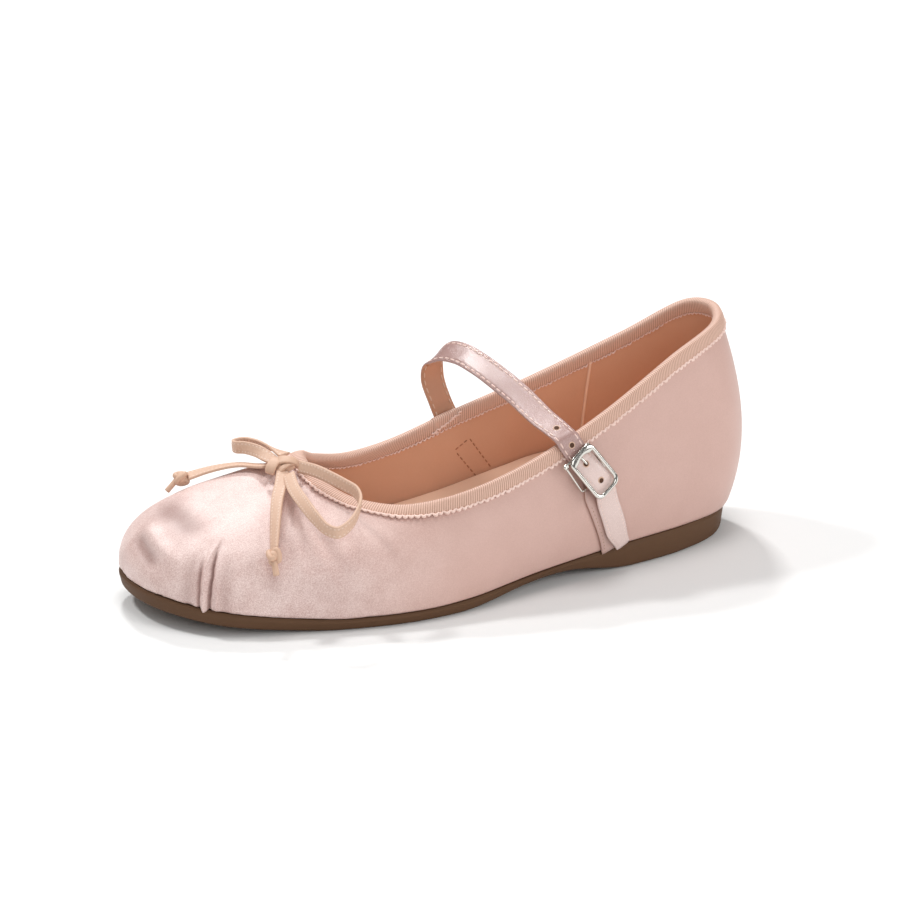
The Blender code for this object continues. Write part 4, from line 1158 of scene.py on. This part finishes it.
binding = make_binding()
lap_stitches()
binding_thread("binding_thread_outer", 0.00066, BINDING_DEPTH - 0.0003, 0.00048, 0.0021)
binding_thread("binding_thread_inner", -UPPER_WALL - 0.00058, BINDING_DEPTH - 0.0001, 0.00026, 0.0017)
print("binding faces:", len(binding.data.polygons))

# %% [markdown]
# ## Straps
#
# The instep strap is a satin ribbon on a stiff backing, turned in and stitched along both edges. It rises
# from the sole on the inner side, arches over the instep and comes down through the buckle on the outer side.
# The short strap under it starts at the sole and folds round the buckle's lower bar.

# %%
STRAP_WIDTH, STRAP_THICKNESS, BASE_STRAP_THICKNESS = 0.0090, 0.0013, 0.0008
STRAP_TIP_WIDTH, STRAP_TAPER, INSTEP_TILT = 0.0060, 0.0100, 34.0
LOOP_WIRE, PRONG_WIRE = 0.0009, 0.0009


def wall_route(side, leg):
    knots = []
    for along, height, off in leg:
        around, up = place_on_wall(along * SHOE_LENGTH - HEEL_REST, height * COLLAR_HEIGHT, side)
        point, normal = wall_points(around, up, off)
        knots.append((*point[0], *normal[0], 0.0))
    return knots


def strap_directions(path):
    """The strap's width direction and its face at each point of a path."""
    tangent = unit(np.gradient(path[:, :3], axis=0))
    on_wall = np.cross(tangent, path[:, 3:6])
    on_wall *= np.sign(on_wall[:, :1])
    run = lengths_along(path[:, :3])
    bow = 8.0 - 7.0 * np.exp(-(((run[-1] - run - 0.101) / 0.012) ** 2))
    tilt = np.radians(INSTEP_TILT + bow) * ease(0.62 * COLLAR_HEIGHT, 0.85 * COLLAR_HEIGHT, path[:, 2])
    free = np.column_stack([np.cos(tilt), np.zeros(len(path)), -np.sin(tilt)])
    across = unit((1.0 - path[:, 6:7]) * on_wall + path[:, 6:7] * free)
    wide = unit(across - tangent * (across * tangent).sum(axis=1, keepdims=True))
    return wide, np.cross(wide, tangent)


def ribbon(name, path, width, thickness, slot, node, finish):
    """A padded satin ribbon: crowned between its stitch rows, pinched along them and round at its edges."""
    wide, face = strap_directions(path)
    half = (np.ones(len(path)) * width / 2)[:, None]
    deep = thickness / 2
    shares, heights = [], []
    for a in np.linspace(-1.0, 1.0, 21):
        pinch = 0.30 * math.exp(-(((abs(a) - 0.76) / 0.07) ** 2))
        shares.append(a)
        heights.append(deep * (1.0 - 0.5 * abs(a) ** 8 - pinch + 0.06 * (1 - a * a)))
    shares += [1.015, 1.015] + list(np.linspace(1.0, -1.0, 9)) + [-1.015, -1.015]
    heights += [deep * 0.25, -deep * 0.25]
    heights += [-deep * (1.0 - 0.5 * abs(a) ** 8) for a in np.linspace(1.0, -1.0, 9)]
    heights += [-deep * 0.25, deep * 0.25]
    shares, heights = np.array(shares), np.array(heights)
    grid = path[:, None, :3] + (half * shares)[..., None] * wide[:, None]
    grid += heights[None, :, None] * face[:, None]
    run = lengths_along(path[:, :3])
    lay = np.zeros((len(path) + 1, len(shares) + 1, 2))
    lay[:-1, :, 0], lay[-1, :, 0] = run[:, None], run[-1]
    lay[:, :-1, 1] = shares * np.mean(width) / 2
    piece = surface(name, grid, finish, round_v=True, lay=lay, slot=slot, caps=True)
    piece.data.materials.append(STRAP_BACK)
    crowned_out = (face[3] @ path[3, 3:6]) > 0
    for index in range((len(path) - 1) * len(shares)):
        if (22 <= index % len(shares) <= 31) == crowned_out:
            piece.data.polygons[index].material_index = 1
    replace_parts(piece, node)
    return wide, face


def strap_stitches(name, path, wide, face, offsets, pitch, length, lift, finish):
    bars = []
    for offset in offsets:
        offset = np.asarray(offset) * np.ones(len(path))
        line = path[:, :3] + wide * offset[:, None]
        bars += stitch_line(line, pitch, length, 0.00030 if length > 0.001 else 0.00016, face, lift)
    return merged(name, bars, finish)


STRAP_BACK = leather("strap_backing", (0.55, 0.285, 0.180), (0.46, 0.225, 0.135), 0.6)

on_wall = GAP + STRAP_THICKNESS / 2
over_binding = on_wall + BINDING_THICKNESS + 2 * GAP
over_base = on_wall + BASE_STRAP_THICKNESS + GAP
over_fold = over_base + LOOP_WIRE + BASE_STRAP_THICKNESS + 3 * GAP
# Shares of SHOE_LENGTH along and COLLAR_HEIGHT up, then the distance off the wall
INNER_LEG = (
    (0.321, 0.125, on_wall), (0.345, 0.220, on_wall), (0.370, 0.335, on_wall),
    (0.392, 0.430, over_binding), (0.408, 0.500, over_binding), (0.4185, 0.550, over_binding),
)
OUTER_LEG = (
    (0.354, 0.647, over_binding), (0.346, 0.612, over_binding), (0.3385, 0.577, over_binding),
    (0.327, 0.526, 0.35 * over_binding + 0.65 * over_fold), (0.318, 0.488, over_fold),
    (0.312, 0.460, over_fold), (0.304, 0.422, 0.5 * over_fold + 0.5 * over_base),
    (0.2965, 0.360, over_base), (0.2885, 0.290, over_base), (0.279, 0.215, over_base),
    (0.2645, 0.140, over_base),
)
# Shares of SHOE_LENGTH along, BALL_WIDTH across and COLLAR_HEIGHT up
ARCH = (
    (0.429, -0.440, 0.645), (0.434, -0.480, 0.740), (0.432, -0.470, 0.825), (0.425, -0.405, 0.880),
    (0.415, -0.300, 0.895), (0.405, -0.180, 0.878), (0.394, -0.040, 0.843), (0.383, 0.110, 0.797),
    (0.374, 0.260, 0.745), (0.366, 0.365, 0.715), (0.3605, 0.425, 0.690),
)


def strap_path():
    knots = wall_route("inner", INNER_LEG)
    for along, across, height in ARCH:
        place = (along * SHOE_LENGTH - HEEL_REST, across * BALL_WIDTH, height * COLLAR_HEIGHT)
        knots.append((*place, 0.0, 0.0, 0.0, 1.0))
    return spaced(knots + wall_route("outer", OUTER_LEG), 0.0010)


path = strap_path()
to_tip = np.linalg.norm(path[:, :3] - path[-1, :3], axis=1)
width = STRAP_TIP_WIDTH + (STRAP_WIDTH - STRAP_TIP_WIDTH) * ease(0.0, STRAP_TAPER, to_tip)
wide, face = ribbon("instep_ribbon", path, width, STRAP_THICKNESS, "strap_satin", "instep_strap", STRAP_SATIN)
rows = (width / 2 - 0.0011, -(width / 2 - 0.0011))
strap_run = lengths_along(path[:, :3])
above = slice(0, int(np.searchsorted(strap_run, strap_run[-1] - 0.041)))
below = slice(above.stop, len(path))
# Name, stretch of the strap, pitch and length of a stitch, and its height as a share of the strap's thickness
STITCH_ROWS = (
    ("instep_stitches", above, 0.0029, 0.0019, 0.44),
    ("tip_stitches", below, 0.0016, 0.0006, 0.40),
)
for name, part, pitch, length, lift in STITCH_ROWS:
    offsets, height = [row[part] for row in rows], STRAP_THICKNESS * lift
    strap_stitches(name, path[part], wide[part], face[part], offsets, pitch, length, height, THREAD)
height = STRAP_THICKNESS * 0.50
strap_stitches("instep_stitches_under", path, wide, -face, rows, 0.0031, 0.0017, height, LACE)
HOLES_FROM_TIP = (58.3, 49.7, 40.2, 32.0)
HOLE_SIDES = 16


def strap_holes():
    """Punched holes 8 to 9 mm apart down the strap's outer leg, each with a worn rim and a middle painted
    dark as the shade inside the hole.
    """
    run = lengths_along(path[:, :3])
    rims, shade_discs = [], []
    for from_tip in HOLES_FROM_TIP:
        place = np.array([np.interp(run[-1] - from_tip * MM, run, path[:, i]) for i in range(3)])
        index = int(np.searchsorted(run, run[-1] - from_tip * MM))
        w, f = wide[index], face[index]
        along = np.cross(w, f)
        centre = place + f * STRAP_THICKNESS * 0.53
        for radius, height, rings in ((0.00145, 0.00004, rims), (0.00102, 0.00012, shade_discs)):
            points = [centre + f * height]
            for size, drop in ((0.6, 0.0), (0.9, 0.00002), (1.0, 0.0002)):
                for a in np.linspace(0, 2 * math.pi, HOLE_SIDES, endpoint=False):
                    reach = radius * size * (math.cos(a) * w + math.sin(a) * along)
                    points.append(centre + f * (height - drop) + reach)
            faces = [[0, 1 + a, 1 + (a + 1) % HOLE_SIDES] for a in range(HOLE_SIDES)]
            for ring in range(2):
                low = 1 + HOLE_SIDES * ring
                high = low + HOLE_SIDES
                for a in range(HOLE_SIDES):
                    b = (a + 1) % HOLE_SIDES
                    faces.append([low + a, high + a, high + b, low + b])
            rings.append((points, faces))
    merged("hole_rims", rims, LACE)
    # Dark discs painted as the shade inside the holes, which are not cut through.
    merged("holes", shade_discs, HOLE_SHADE)


strap_holes()

# %% [markdown]
# ## Buckle
#
# A small nickel buckle holds the strap. Its flat frame is wide at the top, where a notch takes the prong, and
# its sides run down over the strap's edges. Behind it a wire loop carries the frame: the loop's top side is
# the pin, whose end shows as a little knob, and its lower bar is wrapped by the short strap.

# %%
BUCKLE_LENGTH, BUCKLE_WIDTH, FRAME_RAIL, FRAME_TOP_BAR = 0.0195, 0.0120, 0.0015, 0.0034
FRAME_THICKNESS, FRAME_CORNER, LOOP_DROP, PRONG_LENGTH, FRAME_LEAN = 0.0012, 0.0030, 0.0130, 0.0042, 0.10


def buckle_frame_of_reference():
    around, up = place_on_wall(0.327 * SHOE_LENGTH - HEEL_REST, 0.526 * COLLAR_HEIGHT, "outer")
    point, normal = wall_points(around, up)
    off = normal[0]
    down = np.array([-0.57, 0.0, -0.82])
    down = unit(down - off * (down @ off))
    across = np.cross(down, off)
    return point[0], down, across * np.sign(across[0]), off


BUCKLE = buckle_frame_of_reference()
LOOP_TURN = LOOP_WIRE / 2 + GAP + BASE_STRAP_THICKNESS / 2
PIN_ALONG = 0.0010 - BUCKLE_LENGTH / 2
LOOP_BAR_ALONG = PIN_ALONG + LOOP_DROP
LOOP_BAR_OFF = GAP + BASE_STRAP_THICKNESS / 2 + LOOP_TURN
PIN_OFF = 3 * GAP + BINDING_THICKNESS + STRAP_THICKNESS + LOOP_WIRE / 2
LOOP_TOE_SIDE, LOOP_HEEL_SIDE = STRAP_WIDTH / 2 + 0.0026, STRAP_WIDTH / 2 + 0.0010
FRAME_OFF = PIN_OFF + LOOP_WIRE / 2 + GAP + FRAME_THICKNESS / 2 - FRAME_LEAN * PIN_ALONG


def in_buckle(along, across, off):
    centre, down, side, out = BUCKLE
    return centre + along * down + across * side + off * out


def rounded_loop(half_along, half_across, radius, per_corner=9):
    points = []
    for corner, (a, b) in enumerate(((1, 1), (1, -1), (-1, -1), (-1, 1))):
        start = math.radians((90, 0, -90, -180)[corner])
        for k in range(per_corner):
            angle = start - math.radians(90) * k / (per_corner - 1)
            centre = (a * (half_along - radius), b * (half_across - radius))
            points.append((centre[0] + radius * math.cos(angle), centre[1] + radius * math.sin(angle)))
    return np.array(points)


def densified(points, per_side=6):
    """A closed loop with extra points along its straight sides."""
    dense = []
    for a, b in zip(points, np.roll(points, -1, axis=0)):
        steps = per_side if np.linalg.norm(b - a) > 0.0015 else 1
        dense += [a + (b - a) * s / steps for s in range(steps)]
    return np.array(dense)


def make_frame():
    outer = densified(rounded_loop(BUCKLE_LENGTH / 2, BUCKLE_WIDTH / 2, FRAME_CORNER))
    inner_corner = FRAME_CORNER - FRAME_RAIL * 0.6
    inner = rounded_loop(BUCKLE_LENGTH / 2 - FRAME_RAIL, BUCKLE_WIDTH / 2 - FRAME_RAIL, inner_corner)
    inner = densified(inner)
    top_edge = FRAME_TOP_BAR - BUCKLE_LENGTH / 2
    shoulder = 0.0011 * (1.0 - ease(0.0008, 0.0036, np.abs(inner[:, 1])))
    inner[:, 0] = np.maximum(inner[:, 0], top_edge - shoulder)
    deep = FRAME_THICKNESS / 2
    # Share from the outer to the inner edge, and height off the frame's middle plane
    section = (
        (0, -0.5), (0, 0.1), (0.07, 0.62), (0.22, 0.92), (0.5, 1.05), (0.78, 0.92), (0.93, 0.62), (1, 0.1),
        (1, -0.5), (0.86, -0.92), (0.5, -1.0), (0.14, -0.92),
    )
    grid = []
    for a, b in zip(outer, inner):
        ring = []
        for share, height in section:
            along, across = a + (b - a) * share
            ring.append(in_buckle(along, across, FRAME_OFF + FRAME_LEAN * along + height * deep))
        grid.append(ring)
    piece = surface("nickel_frame", np.array(grid), NICKEL, round_u=True, round_v=True, slot="buckle_chrome")
    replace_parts(piece, "buckle_frame")


def loop_place(along, across):
    share = (along - PIN_ALONG) / (LOOP_BAR_ALONG - PIN_ALONG)
    return in_buckle(along, across, PIN_OFF + (LOOP_BAR_OFF - PIN_OFF) * share)


def make_loop():
    half_along, half_across = (LOOP_BAR_ALONG - PIN_ALONG) / 2, (LOOP_TOE_SIDE + LOOP_HEEL_SIDE) / 2
    outline = densified(rounded_loop(half_along, half_across, LOOP_WIRE, 7), 10)
    middle = (LOOP_BAR_ALONG + PIN_ALONG) / 2, (LOOP_TOE_SIDE - LOOP_HEEL_SIDE) / 2
    path = np.array([loop_place(a + middle[0], b + middle[1]) for a, b in outline])
    closed = np.vstack([path, path[:1]])
    grid = tube_grid(closed, LOOP_WIRE / 2, np.tile(BUCKLE[3], (len(closed), 1)), 14)[:-1]
    piece = surface("nickel_loop", grid, NICKEL, round_u=True, round_v=True, slot="buckle_chrome")
    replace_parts(piece, "buckle_loop")
    # The pin's knob at the toe side: distance along it and share of its radius
    knob = (
        (-0.0002, 0.6), (0.0, 0.95), (0.0005, 1.0), (0.0008, 0.8), (0.0011, 1.0), (0.0016, 0.95),
        (0.0018, 0.5),
    )
    places = np.array([loop_place(PIN_ALONG, LOOP_TOE_SIDE - 0.0009 + reach) for reach, size in knob])
    sizes = np.array([size * 0.00115 for reach, size in knob])
    side = np.tile(BUCKLE[3], (len(places), 1))
    grid = tube_grid(places, sizes, side, 16)
    surface("pin_knob", grid, NICKEL, round_v=True, slot="buckle_chrome", caps=True)


def make_prong():
    start = PIN_ALONG + LOOP_WIRE / 2 + GAP + PRONG_WIRE / 2
    # Share of the prong's length, and rise in wire thicknesses
    route = []
    for part, rise in ((0.0, 0.0), (0.35, 0.05), (0.7, 0.45), (1.0, 0.9)):
        route.append(in_buckle(start + part * PRONG_LENGTH, 0.0, PIN_OFF + rise * PRONG_WIRE))
    path = spaced(np.array(route), 0.0003)
    share = np.linspace(0, 1, len(path))
    sizes = PRONG_WIRE / 2 * np.interp(share, (0, 0.08, 0.8, 0.95, 1), (0.7, 1.0, 1.0, 0.85, 0.4))
    grid = tube_grid(path, sizes, np.tile(BUCKLE[3], (len(path), 1)), 12)
    piece = surface("nickel_prong", grid, NICKEL, round_v=True, slot="buckle_chrome", caps=True)
    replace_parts(piece, "buckle_prong")


def make_base_strap():
    layer = GAP + BASE_STRAP_THICKNESS / 2
    leg = (
        (0.279, 0.122, layer), (0.288, 0.200, layer), (0.298, 0.275, layer),
        (0.3075, 0.345, layer), (0.315, 0.400, layer),
    )
    base = list(spaced(wall_route("outer", leg), 0.0010))
    for angle in np.radians(np.arange(-75, 106, 12)):
        along, off = LOOP_BAR_ALONG - LOOP_TURN * math.cos(angle), LOOP_BAR_OFF + LOOP_TURN * math.sin(angle)
        place = in_buckle(along, 0.0, off)
        facing = -math.cos(angle) * BUCKLE[1] + math.sin(angle) * BUCKLE[3]
        base.append((*place, *-facing, 0.0))
    base = np.array(base)
    size = (STRAP_WIDTH, BASE_STRAP_THICKNESS)
    wide, face = ribbon("base_ribbon", base, *size, "strap_satin", "buckle_strap", BASE_SATIN)
    face *= np.sign((face[3] @ base[3, 3:6]))
    offsets = (STRAP_WIDTH / 2 - 0.0012, -(STRAP_WIDTH / 2 - 0.0012))
    keep = slice(0, len(base) - 18)
    base, wide, face = base[keep], wide[keep], face[keep]
    strap_stitches("base_stitches", base, wide, face, offsets, 0.0016, 0.0006, 0.00036, HOLE)


make_frame()
make_loop()
make_prong()
make_base_strap()

# %% [markdown]
# ## Floor and light
#
# A white floor under one soft light overhead. A small panel high behind the shoe lights the vamp and throws
# the bow's shadow down it, one more lights the strap, and two big panels give the satin broad highlights.


# %%
def make_floor():
    mesh = bpy.data.meshes.new("floor")
    size = 8.0
    corners = [(-size, -size, 0), (size, -size, 0), (size, size, 0), (-size, size, 0)]
    mesh.from_pydata(corners, [], [(0, 1, 2, 3)])
    floor = add_object("floor", mesh)
    paper = Sheet("paper_floor", (0.82, 0.82, 0.815), 0.9, Specular_IOR_Level=0.1)
    tooth = paper.noise(0.01, 2.0)
    mesh.materials.append(paper.feed(Roughness=tooth * 0.05 + 0.87))


def area_light(name, place, aim, size, power):
    lamp = bpy.data.lights.new(name, "AREA")
    lamp.shape = "RECTANGLE"
    lamp.size, lamp.size_y = size
    lamp.energy = power
    made = bpy.data.objects.new(name, lamp)
    made.location = place
    made.rotation_euler = (Vector(aim) - Vector(place)).to_track_quat("-Z", "Y").to_euler()
    bpy.context.scene.collection.objects.link(made)


make_floor()
area_light("overhead", (0.05, 0.00, 2.15), (0.09, 0.0, 0.03), (0.75, 0.75), 12.5)
area_light("back_panel", (-0.21, -1.30, 1.67), (0.10, 0.0, 0.04), (0.25, 0.19), 19.5)
area_light("strap_panel", (0.95, -0.92, 1.76), (0.07, -0.02, 0.07), (0.26, 0.26), 18.0)
area_light("front_panel", (0.55, 2.15, 1.10), (0.10, 0.0, 0.03), (1.8, 1.2), 12.0)
area_light("heel_panel", (-1.40, 1.50, 0.90), (0.0, 0.0, 0.04), (1.2, 1.0), 14.0)
world = bpy.data.worlds.new("studio")
world.use_nodes = True
sky = world.node_tree.nodes["Background"]
sky.inputs["Color"].default_value = (1.0, 1.0, 1.0, 1.0)
rays = world.node_tree.nodes.new("ShaderNodeLightPath")
strength = world.node_tree.nodes.new("ShaderNodeMapRange")
strength.inputs["To Min"].default_value, strength.inputs["To Max"].default_value = 0.38, 0.14
world.node_tree.links.new(rays.outputs["Is Glossy Ray"], strength.inputs["Value"])
world.node_tree.links.new(strength.outputs["Result"], sky.inputs["Strength"])
bpy.context.scene.world = world
bpy.context.scene.view_settings.view_transform = "Standard"
